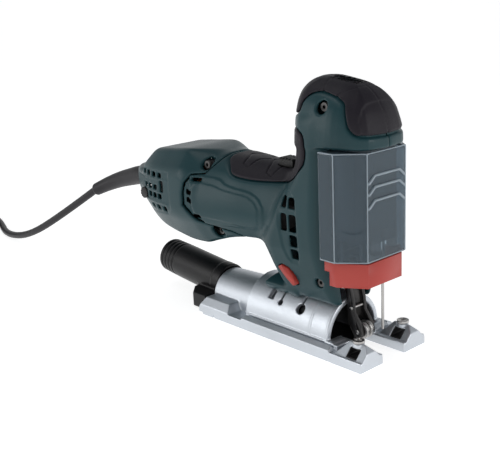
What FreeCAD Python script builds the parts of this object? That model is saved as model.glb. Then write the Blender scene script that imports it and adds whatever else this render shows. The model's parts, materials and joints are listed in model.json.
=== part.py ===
import FreeCAD, Part
import math
import os

# A corded body-grip jigsaw. Millimetres. X points forward along the cut, Y to the tool's left,
# Z up. The origin is on the sole plane under the plunger, where the saw blade goes.

V = FreeCAD.Vector
os.makedirs("parts", exist_ok=True)

# ---- driving dimensions ----
WALL = 3.0                    # housing shell
GRIP_T = 1.8                  # soft overmould on the shell
BASE_FRONT = 16.0
BASE_REAR = -154.0
BASE_HALF = 35.5
RAIL_H = 9.7                  # height of the base's side rails
GAP_HALF = 11.7               # half the blade gap between the toes
TILT_Z = 10.0                 # bevel axis above the sole
DRUM_R = 28.0                 # bevel drum on the base
DRUM_WALL = 4.0
DRUM_FRONT = -21.0
DRUM_REAR = -106.0
SADDLE_GAP = 0.3              # housing saddle to bevel drum
SADDLE_R = 36.0
TILT_X = -84.0                # the bevel clamp screw
TOWER_FRONT = -21.5
GUARD_TOP = 148.6
GUARD_LOW = 73.4
GUARD_T = 1.6
LEVER_TOP = 72.8
LEVER_LOW = 55.6
LEVER_T = 2.4
MOTOR_Z = 99.0                # armature axis
MODULE = 0.8
PINION_TEETH = 10
GEAR_TEETH = 58
GEAR_X = (-33.0, -26.0)
STROKE = 22.0
PLUNGER_R = 3.5
BUSH_R = 5.0
BUSH_LOW = 88.2               # lower bush's bottom, above the blade clamp's top position
ROLLER_R = 6.5
ROLLER_X = -11.0
ROLLER_Z = 14.6
FORK_PIVOT = (-25.0, 62.0)
CROSS_X = -16.2
CORD_D = 7.0
COIL_R = 38.5                 # middle of the put-away turns
COIL_WIDE = 4 * CORD_D        # four turns wide and three high
COIL_HIGH = 3 * CORD_D
GEAR_Z = MOTOR_Z + MODULE * (PINION_TEETH + GEAR_TEETH) / 2
GEAR_TIP = MODULE * (GEAR_TEETH / 2 + 0.85)
TOE_H = 16.2
TOE_SCREW_Y = 24.5
WINDOW_X = 5.0                # guide bar windows in the toes
WINDOW_L = 9.4
WINDOW_Z = (7.4, 13.4)
WIRE_X = 6.4                  # wire guard in front of the blade
PIVOT = (-7.0, 26.0)          # release lever's pin
DIAL_X, DIAL_Z, DIAL_R = -222.5, 91.0, 4.7
SHELL_SCREWS = [(-30, 52), (-23.6, 176.8)]                # x, z
COVER_SCREWS = [(-147, 122.8, 22.5), (-135, 71.5, 21)]    # x, z, outer face of the boss
BUTTON = [(-69, 57.2), (-64.5, 59.4), (-58, 57.6), (-53, 52.5), (-51.3, 46.6), (-53.5, 45.2), (-61, 50.4)]
BUTTON_TRAVEL = 2.0
BUTTON_WAY = (0.77, -0.64)    # along its length, forward and down
NOSE = [(-20, -19.5), (-1, -19.5), (7.6, -12.5), (7.6, 12.5), (-1, 19.5), (-20, 19.5)]
NOSE_HOLLOW = [(-21, -17), (-2, -17), (4.8, -11.5), (4.8, 11.5), (-2, 17), (-21, 17)]
GUARD = [(-21, -34), (-7.5, -34), (10, -20), (10, 20), (-7.5, 34), (-21, 34)]
GUARD_IN = [
    (-22, -34 + GUARD_T), (-8.1, -34 + GUARD_T), (10 - GUARD_T, -19.2), (10 - GUARD_T, 19.2),
    (-8.1, 34 - GUARD_T), (-22, 34 - GUARD_T),
]
ROUTE = [                     # the lead's corner points, from the strain relief to the coil
    (-333.2, -12.5, 72.8), (-382.4, -25.6, 40.8), (-437, -34, 12.5), (-490, -32, 3.5),
    (-545, -10.5, 3.5), (-600, 1, 3.5),
]
COIL_CENTRE = (-600, -48)
PLUG_OFF = 34.5               # plug's middle from the coil's middle


# ---- small helpers ----
def box(x0, x1, y0, y1, z0, z1):
    return Part.makeBox(x1 - x0, y1 - y0, z1 - z0, V(x0, y0, z0))


def rod(x, y, z, axis, radius, length):
    """A cylinder that starts at x, y, z and runs along the axis."""
    return Part.makeCylinder(radius, length, V(x, y, z), V(*axis))


def tube(x, y, z, axis, outer, inner, length):
    return rod(x, y, z, axis, outer, length).cut(rod(x, y, z, axis, inner, length))


def prism(points, place, along):
    """An outline of 2-D points, put in space by place, pushed along a vector."""
    corners = [place(a, b) for a, b in points]
    face = Part.Face(Part.makePolygon(corners + [corners[0]]))
    return face.extrude(V(*along))


def side_prism(points, y0, y1):
    """An X-Z outline between two Y planes."""
    return prism(points, lambda a, b: V(a, y0, b), (0, y1 - y0, 0))


def front_prism(points, x0, x1):
    """A Y-Z outline between two X planes."""
    return prism(points, lambda a, b: V(x0, a, b), (x1 - x0, 0, 0))


def plan_prism(points, z0, z1):
    """An X-Y outline between two heights."""
    return prism(points, lambda a, b: V(a, b, z0), (0, 0, z1 - z0))


def fuse(*shapes):
    whole = shapes[0]
    for shape in shapes[1:]:
        whole = whole.fuse(shape)
    return whole.removeSplitter()


def cut(shape, *tools):
    for tool in tools:
        shape = shape.cut(tool)
    return shape


def mirror_y(shape):
    return shape.mirror(V(0, 0, 0), V(0, 1, 0))


def save(shape, name):
    """Writes one sub-part, and stops if its shape is empty or broken."""
    if not shape.Solids or not shape.isValid():
        raise RuntimeError(name + " is not a valid solid")
    shape = shape.Solids[0] if len(shape.Solids) == 1 else Part.makeCompound(shape.Solids)
    shape.exportStep("parts/" + name + ".step")
    print(f"{name:18s} solids {len(shape.Solids)} volume {shape.Volume:10.1f}")
    return shape


def rounded(half_a, half_b, radius, place, rear=None):
    """A closed rounded rectangle about 0, 0 with 8 edges, put in space by place.

    The corners on the low side of the first direction can have a radius of their own."""
    corners = []
    for sa, sb in ((1, 1), (-1, 1), (-1, -1), (1, -1)):
        r = min(radius if sa > 0 or rear is None else rear, half_a - 0.5, half_b - 0.5)
        ca, cb = sa * (half_a - r), sb * (half_b - r)
        k = r * math.sqrt(0.5)
        ends = [(ca + sa * r, cb), (ca, cb + sb * r)]
        first, last = ends if sa == sb else ends[::-1]
        corners.append((first, (ca + sa * k, cb + sb * k), last))
    edges = []
    for (first, middle, last), (following, _, _) in zip(corners, corners[1:] + corners[:1]):
        edges.append(Part.Arc(place(*first), place(*middle), place(*last)).toShape())
        edges.append(Part.LineSegment(place(*last), place(*following)).toShape())
    return Part.Wire(edges)


def loft_x(sections, inset=0.0):
    """Body through sections (x, middle height, half height, half width, corner radius)."""
    wires = []
    for i, (x, zc, hz, hy, r) in enumerate(sections):
        x += inset if i == 0 else (-inset if i == len(sections) - 1 else 0)
        wires.append(rounded(hy - inset, hz - inset, max(r - inset, 1.0), lambda a, b: V(x, a, zc + b)))
    return Part.makeLoft(wires, True, True)


def loft_z(sections, inset=0.0, low_inset=None):
    """Body through sections (z, rear x, front x, half width, front and rear corner radius)."""
    low = inset if low_inset is None else low_inset
    wires = []
    for i, (z, x0, x1, hy, front, rear) in enumerate(sections):
        z += low if i == 0 else (-inset if i == len(sections) - 1 else 0)
        xc, hx = (x0 + x1) / 2, (x1 - x0) / 2 - inset
        place = lambda a, b: V(xc + a, b, z)
        wires.append(rounded(hx, hy - inset, max(front - inset, 1.0), place, max(rear - inset, 1.0)))
    return Part.makeLoft(wires, True, True)


# ---- housing outline ----
# TOWER: height, rear x, front x, half width, front and rear corner radius. HEAD: the same.
# MOTOR: x, middle height, half height, half width, corner radius. The rest are side views, x and z.
TOWER = [
    (34, -68, -17, 18.6, 6, 6), (48, -74, -20, 25, 8, 8), (60, -80, TOWER_FRONT, 28, 10, 10),
    (78, -84, TOWER_FRONT, 31.5, 12, 14), (100, -76, TOWER_FRONT, 32.5, 13, 18),
    (118, -66, TOWER_FRONT, 31.5, 13, 20), (132, -59.5, TOWER_FRONT, 30.8, 13, 18.5),
    (150, -58, TOWER_FRONT, 30.5, 14, 17.5), (168, -57, TOWER_FRONT, 29, 14, 17.5),
]
HEAD = [
    (149.6, -58.5, 12.0, 30.5, 20, 26), (164, -58.5, 11.6, 30.5, 20, 26), (172, -58, 9.2, 29.8, 19, 25),
    (180, -55, 4.6, 27, 17, 22), (187, -50.5, -3.5, 22, 13, 17), (192, -44, -13, 15, 9, 11),
    (195, -37, -23, 8, 6, 6),
]
MOTOR = [
    (-262, 95, 8.5, 8.5, 6), (-256, 96, 15, 15, 10), (-247, 97, 20.5, 20.5, 14), (-233, 97.5, 27, 28, 19),
    (-218, 96.7, 31.5, 34, 23), (-205, 95.8, 33.8, 37, 25), (-190, 95.3, 35.8, 38.4, 25),
    (-168, 95, 38, 39.2, 25), (-156, 95, 37.6, 39, 25), (-143, 96.4, 35, 37.8, 24),
    (-127, 98.5, 32, 36.4, 22), (-112, 99.6, 30.2, 34.6, 21), (-90, 99.5, 28.6, 31.8, 18),
    (-62, 100, 27.2, 29.5, 16),
]
REAR_COVER = [
    (-275, 150), (-136, 150), (-136.5, 129), (-139, 124), (-145.5, 116.5), (-157, 115.3),
    (-162.3, 108.5), (-164.8, 100), (-164.9, 90.5), (-153.8, 82), (-150, 79.8), (-133, 76),
    (-119, 73.8), (-110, 70), (-106, 45), (-275, 45),
]
NECK_GRIP = [
    (-136, 150), (-134, 129), (-125, 124), (-117, 117.5), (-96, 116), (-66, 118), (-52, 124),
    (-43.5, 131), (-37, 138), (-36, 150), (-37.5, 158), (-45, 161.5), (-90, 161.5),
]
CAP_GRIP = [
    (-80, 168), (-56, 168.5), (-43.5, 172.5), (-41.5, 180), (-37, 184.5), (-30, 186.3), (-24, 185.6),
    (-14, 183), (-8, 179.5), (-5.5, 173), (-2.5, 164.5), (1.5, 160.3), (7, 158.3), (30, 156.9),
    (30, 210), (-80, 210),
]


def drum_space(radius, x0, x1):
    return rod(x0, 0, TILT_Z, (1, 0, 0), radius, x1 - x0)


def saddle_ring():
    ring = tube(-93, 0, TILT_Z, (1, 0, 0), SADDLE_R, DRUM_R + SADDLE_GAP, 35)
    reach = 60 * math.tan(math.radians(38))
    wedge = front_prism([(0, TILT_Z), (reach, TILT_Z + 60), (-reach, TILT_Z + 60)], -93, -58)
    nose = side_prism([(-93, 10), (-93, 36), (-88, 44), (-80, 50), (-58, 50), (-58, 10)], -40, 40)
    return ring.common(wedge).common(nose).cut(rod(TILT_X, 0, 20, (0, 0, 1), 2.4, 24))


def outer_body(inset):
    tower = loft_z(TOWER, inset, 0.0 if inset else None)
    return fuse(tower, loft_z(HEAD, inset), loft_x(MOTOR, inset))


def shells():
    """Both housing halves, the rear cover and the two soft grips."""
    outer = outer_body(0.0)
    inner = outer_body(WALL)
    skin = outer.cut(outer_body(GRIP_T))
    neck = skin.common(side_prism(NECK_GRIP, -50, 50))
    cap = cut(skin.common(side_prism(CAP_GRIP, -50, 50)), side_prism(NECK_GRIP, -50, 50))
    shell = cut(outer.cut(inner), neck, cap)
    shell = fuse(shell, saddle_ring())
    shell = shell.cut(drum_space(DRUM_R + SADDLE_GAP, -120, 0))
    shell = cut(shell, *tower_openings())
    slot = box(-87, -66, -6.5, 6.5, 119, 140)
    neck, shell = neck.cut(slot), shell.cut(slot)
    bosses = []
    for x, z in SHELL_SCREWS:
        bosses.append(rod(x, -28, z, (0, 1, 0), 4.2, 56))
    shell = fuse(shell, *[b.common(outer).cut(skin) for b in bosses])
    for x, z in SHELL_SCREWS:
        shell = cut(shell, rod(x, -40, z, (0, 1, 0), 3.4, 20), rod(x, -21, z, (0, 1, 0), 1.6, 42))
        neck = neck.cut(rod(x, -40, z, (0, 1, 0), 3.4, 20))
        cap = cap.cut(rod(x, -40, z, (0, 1, 0), 3.4, 20))
    cover_zone = side_prism(REAR_COVER, -50, 50)
    cover = shell.common(cover_zone)
    body = shell.cut(cover_zone)
    cover = cut(cover, *cover_openings())
    right = body.common(box(-300, 60, -60, 0, 0, 220))
    left = body.common(box(-300, 60, 0, 60, 0, 220))
    right = cut(right, *side_vents(-1), blower_slot())
    left = cut(left, *side_vents(1), rod(-62, 20, 60, (0, 1, 0), 4.2, 20))
    return right, left, cover, neck, cap


def tower_openings():
    """Room for the big gear, and where the nose, the roller fork and the lever hub come through."""
    return [
        rod(GEAR_X[0] - 0.6, 0, GEAR_Z, (1, 0, 0), GEAR_TIP + 0.5, 8.2),
        box(-27, -14, -20, 20, 84.7, 149.6),
        box(-40, 0, -14.5, 14.5, 20, 85),
        box(-10, 6.7, -9.3, 9.3, 148, 154),
    ]


def side_vents(side):
    """Two columns of four air slots low on the tower. The lower rear one is blind."""
    cuts = []
    for i, x0 in enumerate((-67, -56)):
        for j, z0 in enumerate((62, 75, 88, 101)):
            if (i, j) == (0, 0):
                continue
            y0, y1 = (-36, -24) if side < 0 else (24, 36)
            cuts.append(box(x0, x0 + 8.5, y0, y1, z0, z0 + 10.5))
    return cuts


def blower_slot():
    """The button's outline, 0.35 mm larger all round, over its whole travel."""
    corners = [V(x, -36, z) for x, z in BUTTON]
    outline = Part.makePolygon(corners + [corners[0]]).makeOffset2D(0.35)
    slots = []
    for step in (0, 0.5, 1):
        way = V(BUTTON_WAY[0], 0, BUTTON_WAY[1]) * (step * BUTTON_TRAVEL)
        slots.append(Part.Face(outline.translated(way)).extrude(V(0, 16, 0)))
    return slots[0].multiFuse(slots[1:])


def cover_openings():
    """Rear air slots, the cord inlet, the speed dial's window and the cover screws' holes."""
    cuts = [rod(-268, 0, 95, (1, 0, 0), 8.9, 18)]
    rows = ((113, -216, 4), (101, -216, 3), (92, -208, 3), (80, -205, 3))
    for side in (-1, 1):
        y0, y1 = (-45, -24) if side < 0 else (24, 45)
        for zc, first, count in rows:
            for i in range(count):
                x0 = first + 7.2 * i - 1.8
                cuts.append(box(x0, x0 + 3.6, y0, y1, zc - 3.6, zc + 3.6))
    cuts.append(rod(DIAL_X, -42, DIAL_Z, (0, 1, 0), DIAL_R + 0.4, 18))
    for x, z, face in COVER_SCREWS:
        cuts += [rod(x, -42, z, (0, 1, 0), 3.3, 42 - face), rod(x, face, z, (0, 1, 0), 3.3, 42 - face)]
    return cuts


# ---- screws ----
def pan_screw(x, y, z, axis, length, head_r=3.0, shank_r=1.4):
    """A screw whose head starts at x, y, z, with a star recess in it."""
    d = V(*axis)
    tip = V(x, y, z) + d * 2.6
    body = Part.makeCylinder(head_r, 2.6, V(x, y, z), d).fuse(Part.makeCylinder(shank_r, length, tip, d))
    return body.cut(Part.makeCylinder(1.3, 1.6, V(x, y, z), d))


# ---- motor, all on or around the armature axis ----
def motor_rod(x0, x1, radius):
    return rod(x0, 0, MOTOR_Z, (1, 0, 0), radius, x1 - x0)


def motor_tube(x0, x1, outer, inner):
    return motor_rod(x0, x1, outer).cut(motor_rod(x0, x1, inner))


def armature_parts():
    shaft = fuse(motor_rod(-212, -34, 4.0), pinion())
    core = motor_tube(-154, -106, 17.5, 4.05)
    for i in range(12):
        a = math.radians(30 * i)
        y, z = 15.6 * math.cos(a), MOTOR_Z + 15.6 * math.sin(a)
        core = core.cut(rod(-155, y, z, (1, 0, 0), 1.6, 50))
    winding = motor_tube(-166, -154.1, 14.5, 4.05)
    front_turns = motor_tube(-105.9, -95, 14.5, 4.05)
    commutator = motor_tube(-192, -172, 11.5, 4.05)
    for i in range(24):
        bar = box(-193, -171, -0.3, 0.3, 10.6, 13)
        bar.rotate(V(0, 0, 0), V(1, 0, 0), 15 * i)
        bar.translate(V(0, 0, MOTOR_Z))
        commutator = commutator.cut(bar)
    return shaft, core, winding, front_turns, commutator


def pinion():
    """Gear teeth on the shaft's nose, set between the teeth of the big gear."""
    return gear_body(PINION_TEETH, 0, MOTOR_Z, -34.0, -25.0, 90.0, 0.12)


def gear_body(teeth, y, z, x0, x1, phase_deg, thin):
    """A spur gear with straight-sided teeth along X. thin narrows each tooth for running clearance."""
    pitch_r = MODULE * teeth / 2
    tip = pitch_r + MODULE * 0.85
    root = pitch_r - MODULE * 1.25
    gear = rod(x0, y, z, (1, 0, 0), root, x1 - x0)
    half_pitch = math.pi * MODULE / 4
    for i in range(teeth):
        a = math.radians(phase_deg + 360.0 * i / teeth)
        tooth = front_prism([
            (-half_pitch * 1.35 + thin, root - 0.4), (half_pitch * 1.35 - thin, root - 0.4),
            (half_pitch * 0.45 - thin, tip), (-half_pitch * 0.45 + thin, tip)], x0, x1)
        tooth.rotate(V(0, 0, 0), V(1, 0, 0), math.degrees(a))
        tooth.translate(V(0, y, z))
        gear = gear.fuse(tooth)
    return gear.removeSplitter()


def fan():
    hub = motor_tube(-91, -82, 7.0, 4.05)
    disc = motor_tube(-84, -82, 22.0, 6.0)
    wheel = hub.fuse(disc)
    for i in range(12):
        blade = box(-91, -83, -0.7, 0.7, 8.0, 22.0)
        blade.rotate(V(0, 0, 0), V(1, 0, 0), 30 * i)
        blade.translate(V(0, 0, MOTOR_Z))
        wheel = wheel.fuse(blade)
    return wheel.removeSplitter()


def drive_gear():
    """The big gear, with a tooth space facing the pinion's top tooth."""
    phase = -90.0 + 180.0 / GEAR_TEETH
    gear = gear_body(GEAR_TEETH, 0, GEAR_Z, GEAR_X[0], GEAR_X[1], phase, 0.12)
    gear = gear.cut(rod(-50, 0, GEAR_Z, (1, 0, 0), 4.05, 40))
    for i in range(1, 5):
        a = math.radians(30 + 60 * i)
        y, z = 14 * math.cos(a), GEAR_Z + 14 * math.sin(a)
        gear = gear.cut(rod(-50, y, z, (1, 0, 0), 4.0, 40))
    return gear


def crank_pin():
    return rod(GEAR_X[1], STROKE / 2, GEAR_Z, (1, 0, 0), 3.0, 14.0)


# ---- gear case, the fixed metal frame in the tower ----
def gear_case():
    nose = plan_prism(NOSE, 85, 149.2).cut(plan_prism(NOSE_HOLLOW, 93, 143))
    chin = box(2, 7.9, -3.5, 3.5, 85, 93)
    floor = box(-46, -19, -17, 17, 85, 88)
    back = box(-46, -42, -25, 25, 85, 152)
    seat = motor_rod(-58, -42, 14.0)
    arm = plan_prism([(-16, 18), (-1.5, 18), (-1.5, 25), (-7, 30), (-16, 30)], 85, 90)
    lugs = [box(-34, -21.8, s * 10.5 - 1.5, s * 10.5 + 1.5, 57.5, 86) for s in (-1, 1)]
    case = fuse(nose, chin, floor, back, seat, arm, *lugs)
    return cut(
        case,
        rod(0, 0, 80, (0, 0, 1), BUSH_R, 80),
        rod(0, 0, 80, (0, 0, 1), 5.7, BUSH_LOW - 80),
        rod(-60, 0, GEAR_Z, (1, 0, 0), 4.0, 30),
        motor_rod(-59, -48, 11.0), motor_rod(-60, -40, 5.5),
        rod(WIRE_X, 0, 80, (0, 0, 1), 1.0, 11),
        rod(PIVOT[0], PIVOT[1], 80, (0, 0, 1), 2.0, 20),
        rod(FORK_PIVOT[0], -20, FORK_PIVOT[1], (0, 1, 0), 2.0, 40),
    )


def plunger_bushes():
    low = tube(0, 0, BUSH_LOW, (0, 0, 1), BUSH_R, PLUNGER_R + 0.03, 93 - BUSH_LOW)
    high = tube(0, 0, 143, (0, 0, 1), BUSH_R, PLUNGER_R + 0.03, 6.2)
    return Part.makeCompound([low, high])


def plunger_rod():
    rod_body = rod(0, 0, 66, (0, 0, 1), PLUNGER_R, 98)
    return rod_body.cut(rod(0, 0, 120, (0, 0, 1), 1.6, 44.5))


def yoke():
    plate = box(-11.5, -7, -16.5, 16.5, GEAR_Z - 5.4, GEAR_Z + 5.4)
    bridge = box(-7.5, -2, -3.4, 3.4, GEAR_Z - 5.4, GEAR_Z + 5.4)
    slot = box(-12, -6.5, -14.2, 14.2, GEAR_Z - 3.1, GEAR_Z + 3.1)
    return cut(plate.cut(slot).fuse(bridge), rod(0, 0, 90, (0, 0, 1), PLUNGER_R, 60))


def blade_clamp():
    core = rod(0, 0, 57, (0, 0, 1), 4.3, 17)
    core = core.fuse(rod(0, 0, 74, (0, 0, 1), 4.9, 2.5))
    return cut(core, box(-3.4, 3.4, -0.85, 0.85, 56, 65.5), rod(0, 0, 66, (0, 0, 1), PLUNGER_R, 20))


def clamp_sleeve():
    sleeve = tube(0, 0, 57.3, (0, 0, 1), 5.1, 4.35, 16.2)
    for i in range(8):
        groove = rod(5.45, 0, 58, (0, 0, 1), 0.6, 15)
        groove.rotate(V(0, 0, 0), V(0, 0, 1), 22.5 + 45 * i)
        sleeve = sleeve.cut(groove)
    return sleeve.cut(box(-7, -3.6, -0.9, 0.9, 57, 66)).cut(box(3.6, 7, -0.9, 0.9, 57, 66))


def wire_guard():
    straight = rod(WIRE_X, 0, 20.5, (0, 0, 1), 1.0, 70.3)
    return straight.fuse(Part.makeSphere(1.0, V(WIRE_X, 0, 20.5)))


# ---- quick-release lever ----
def lever():
    outer = [(-14.5, -31.5), (-8, -31.5), (10.4, -20), (10.4, 16), (1, 27), (-4, 31), (-12, 31), (-12, 21)]
    inner = [(-15, -29.1), (-8.7, -29.1), (8, -18.8), (8, 15.2), (-1, 25.5), (-5, 21)]
    inner += [(-12.5, 21), (-12.5, 20), (-15, 20)]
    band = plan_prism(outer, LEVER_LOW, LEVER_TOP).cut(plan_prism(inner, LEVER_LOW - 1, LEVER_TOP + 1))
    hub = rod(PIVOT[0], PIVOT[1], LEVER_LOW, (0, 0, 1), 5.0, LEVER_TOP - LEVER_LOW)
    tab = box(-19, -14, -31.5, -29.6, 65.5, LEVER_TOP)
    whole = fuse(band, hub, tab)
    return whole.cut(rod(PIVOT[0], PIVOT[1], 50, (0, 0, 1), 2.05, 30))


def lever_pin():
    shank = rod(PIVOT[0], PIVOT[1], 54.6, (0, 0, 1), 2.0, 35.4)
    return shank.fuse(rod(PIVOT[0], PIVOT[1], 52.8, (0, 0, 1), 3.6, 2.2))


def lever_spring():
    """The torsion spring's coils round the lever pin, as one ring."""
    return tube(PIVOT[0], PIVOT[1], 73.6, (0, 0, 1), 3.9, 2.5, 11.2)


# ---- clear guard ----
def clear_guard():
    shell = plan_prism(GUARD, GUARD_LOW, GUARD_TOP)
    shell = shell.cut(plan_prism(GUARD_IN, GUARD_LOW - 1, GUARD_TOP - GUARD_T))
    shell = shell.cut(box(-25, 8.4, -20.4, 20.4, GUARD_TOP - 3, GUARD_TOP + 1))
    ridges = [box(9.8, 11.2, -15, 16, z, z + 1.6) for z in (115.5, 124.0, 132.5)]
    return fuse(shell, *ridges)


# ---- roller fork ----
def roller_fork():
    outline = [
        (-28.5, 60), (-28.5, 66), (-21.8, 66), (-18.6, 50), (-15.2, 38), (-14, 28), (-7.5, 19),
        (-6.5, 12), (-9, 9.6), (-14, 10.2), (-19.5, 20), (-20.3, 36), (-23, 52),
    ]
    arms = side_prism(outline, -7.2, 7.2).cut(box(-40, 0, -4.6, 4.6, 0, 80))
    bridge = [(-22.6, 52), (-20.1, 36), (-19.3, 23), (-17.4, 23), (-18.0, 36), (-20.4, 52)]
    web = side_prism(bridge, -4.8, 4.8)
    fork = fuse(arms, web)
    fork = fork.cut(rod(FORK_PIVOT[0], -20, FORK_PIVOT[1], (0, 1, 0), 2.05, 40))
    fork = fork.cut(rod(ROLLER_X, -20, ROLLER_Z, (0, 1, 0), 1.75, 40))
    return fork.cut(rod(CROSS_X, -20, 31.5, (0, 1, 0), 1.2, 40))


def guide_roller():
    wheel = rod(ROLLER_X, -4.0, ROLLER_Z, (0, 1, 0), ROLLER_R, 8.0)
    groove = tube(ROLLER_X, -0.8, ROLLER_Z, (0, 1, 0), ROLLER_R + 1, ROLLER_R - 1.6, 1.6)
    return cut(wheel, groove, rod(ROLLER_X, -9, ROLLER_Z, (0, 1, 0), 1.8, 18))


# ---- base ----
def base_plate():
    """The cast base: rails, toes with bar windows, and the hollow bevel drum."""
    slab = plan_prism([
        (BASE_REAR, -29), (BASE_REAR + 3, -BASE_HALF), (-11, -BASE_HALF), (-11, BASE_HALF),
        (BASE_REAR + 3, BASE_HALF), (BASE_REAR, 29)], 0, RAIL_H)
    half = BASE_HALF
    rear = front_prism([(-half, RAIL_H), (-31, 14), (31, 14), (half, RAIL_H)], BASE_REAR + 3, -118)
    middle = front_prism([
        (-32.5, RAIL_H), (-29, 12.5), (29, 12.5), (32.5, RAIL_H)], -118.5, -11)
    base = slab.fuse(rear).fuse(middle)
    drum = tube(DRUM_REAR, 0, TILT_Z, (1, 0, 0), DRUM_R, DRUM_R - DRUM_WALL, DRUM_FRONT - DRUM_REAR)
    base = base.fuse(drum)
    rear_tube = Part.makeCone(21.5, 20, 50, V(DRUM_REAR + 2, 0, TILT_Z), V(-1, 0, 0))
    base = base.fuse(rear_tube)
    shoulder = Part.makeCone(DRUM_R, 21.5, 5, V(DRUM_REAR, 0, TILT_Z), V(-1, 0, 0))
    base = base.fuse(shoulder)
    hollow = rod(-112, 0, TILT_Z, (1, 0, 0), DRUM_R - DRUM_WALL, 120)
    hollow = hollow.common(box(-120, DRUM_FRONT + 1, -40, 40, -1, 60))
    duct = rod(-160, 0, TILT_Z + 4, (1, 0, 0), 12.5, 60)
    under = box(-300, 100, -60, 60, -60, 0)
    trench = box(-108, DRUM_FRONT + 1, -24, 24, -1, 11)
    base = cut(base, hollow, duct, under, trench)
    base = fuse(base, box(DRUM_FRONT - 2, -11, -35, -GAP_HALF, 0, 12.5))
    base = fuse(base, box(DRUM_FRONT - 2, -11, GAP_HALF, 35, 0, 12.5))
    for side in (-1, 1):
        base = base.fuse(toe(side))
    base = base.cut(box(-30, 40, -GAP_HALF, GAP_HALF, -1, 14))
    base = base.cut(box(-21, -10.9, -15, 15, 10.2, 14))
    for side in (-1, 1):
        base = base.cut(bar_window(side))
    base = cut(base, detent_holes(), tilt_slot())
    base = base.cut(box(-138.6, -136.4, -BASE_HALF - 1, -BASE_HALF + 1.5, -1, 2.2))
    keep = box(-300, 100, -60, 60, 0, 60)
    return base.common(keep)


def toe(side):
    """One front toe: a block whose sides slope in to a collar for its clamp screw."""
    across = [
        (-BASE_HALF, 0), (-BASE_HALF, 5.3), (-25, TOE_H), (-23.4, TOE_H), (-GAP_HALF - 0.3, 4.8),
        (-GAP_HALF, 0)]
    along = [(-11, 0), (BASE_FRONT, 0), (BASE_FRONT, 11.8), (11.4, TOE_H), (-2.2, TOE_H), (-10, 7), (-11, 7)]
    block = front_prism(across, -11, BASE_FRONT).common(side_prism(along, -BASE_HALF, 0))
    block = block.fuse(rod(WINDOW_X, -TOE_SCREW_Y, 12, (0, 0, 1), 4.2, 4.6))
    return block if side < 0 else mirror_y(block)


def bar_window(side):
    """The slot for a parallel guide bar, with the clamp screw's hole over it."""
    y0, y1 = (-BASE_HALF - 1, -11) if side < 0 else (11, BASE_HALF + 1)
    slot = box(WINDOW_X - WINDOW_L / 2, WINDOW_X + WINDOW_L / 2, y0, y1, *WINDOW_Z)
    return slot.fuse(rod(WINDOW_X, side * TOE_SCREW_Y, WINDOW_Z[1] - 1, (0, 0, 1), 2.5, 8))


def tilt_slot():
    """The arc slot over the drum that the bevel clamp screw runs in, 53 degrees each way."""
    ring = tube(TILT_X - 2.8, 0, TILT_Z, (1, 0, 0), DRUM_R + 1, DRUM_R - DRUM_WALL - 1, 5.6)
    reach = 60 * math.tan(math.radians(53))
    wedge = [(0, TILT_Z), (reach, TILT_Z + 60), (-reach, TILT_Z + 60)]
    return ring.common(front_prism(wedge, TILT_X - 4, TILT_X + 4))


def detent_holes():
    """Two holes with short key slots through the drum's right flank."""
    cuts = []
    for x, radius, angle in ((-73, 2.2, 54), (-52, 4.0, 54)):
        for turn, r in ((angle, radius), (angle - 9, 0.9), (angle - 16, 0.9)):
            hole = rod(x, 0, TILT_Z, (0, 0, 1), r, 40)
            hole.rotate(V(x, 0, TILT_Z), V(1, 0, 0), turn)
            cuts.append(hole)
    return cuts[0].multiFuse(cuts[1:])


def dust_pipe():
    """The suction pipe, which slopes up to the rear, with the block that plugs into the base."""
    slope = math.radians(6)
    back = (-math.cos(slope), 0, math.sin(slope))
    start = (-156.5, 0, 17.5)
    pipe = rod(*start, back, 15.0, 78).fuse(rod(*start, back, 15.4, 8))
    block = box(-181, -154.3, -29.5, 29.5, 1.2, 13.2)
    chamfer = plan_prism([(-182, -31), (-170, -31), (-182, -18)], 0, 20)
    block = cut(block, chamfer, mirror_y(chamfer))
    spigot = rod(-156.6, 0, TILT_Z + 4, (1, 0, 0), 12.4, 16)
    whole = fuse(pipe.cut(box(-154.3, 0, -30, 30, 0, 60)), block, spigot)
    whole = whole.cut(rod(-158.5, 0, 17.7, back, 12.6, 90))
    whole = whole.cut(rod(-159, 0, TILT_Z + 4, (1, 0, 0), 10.8, 30))
    for s in (62, 67, 72):
        p = V(*start) + V(*back) * s
        whole = whole.cut(tube(p.x, p.y, p.z, back, 16, 14.5, 2.2))
    return whole


# ---- cord ----
def cord_route(points, radius):
    """A round cord along straight runs joined by tangent arcs."""
    pts = [V(*p) for p in points]
    edges = []
    start = pts[0]
    for before, corner, after in zip(pts, pts[1:], pts[2:]):
        a, b = (before - corner), (after - corner)
        run = min(a.Length, b.Length)
        half_turn = (math.pi - a.getAngle(b)) / 2
        bend = 0.45 * run / math.tan(half_turn)
        a.normalize()
        b.normalize()
        first, last = corner + a * (0.45 * run), corner + b * (0.45 * run)
        middle = corner + (a + b).normalize() * (bend / math.cos(half_turn) - bend)
        print(f"cord bend radius {bend:.0f} mm, turn {math.degrees(2 * half_turn):.0f} degrees")
        edges.append(Part.LineSegment(start, first).toShape())
        edges.append(Part.Arc(first, middle, last).toShape())
        start = last
    edges.append(Part.LineSegment(start, pts[-1]).toShape())
    path = Part.Wire(edges)
    ring = Part.Wire(Part.makeCircle(radius, pts[0], pts[1] - pts[0]))
    swept = path.makePipeShell([ring], True, False)
    want = math.pi * radius ** 2 * path.Length
    print(f"cord volume {swept.Volume:.0f}, section times length {want:.0f}")
    return swept


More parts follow.
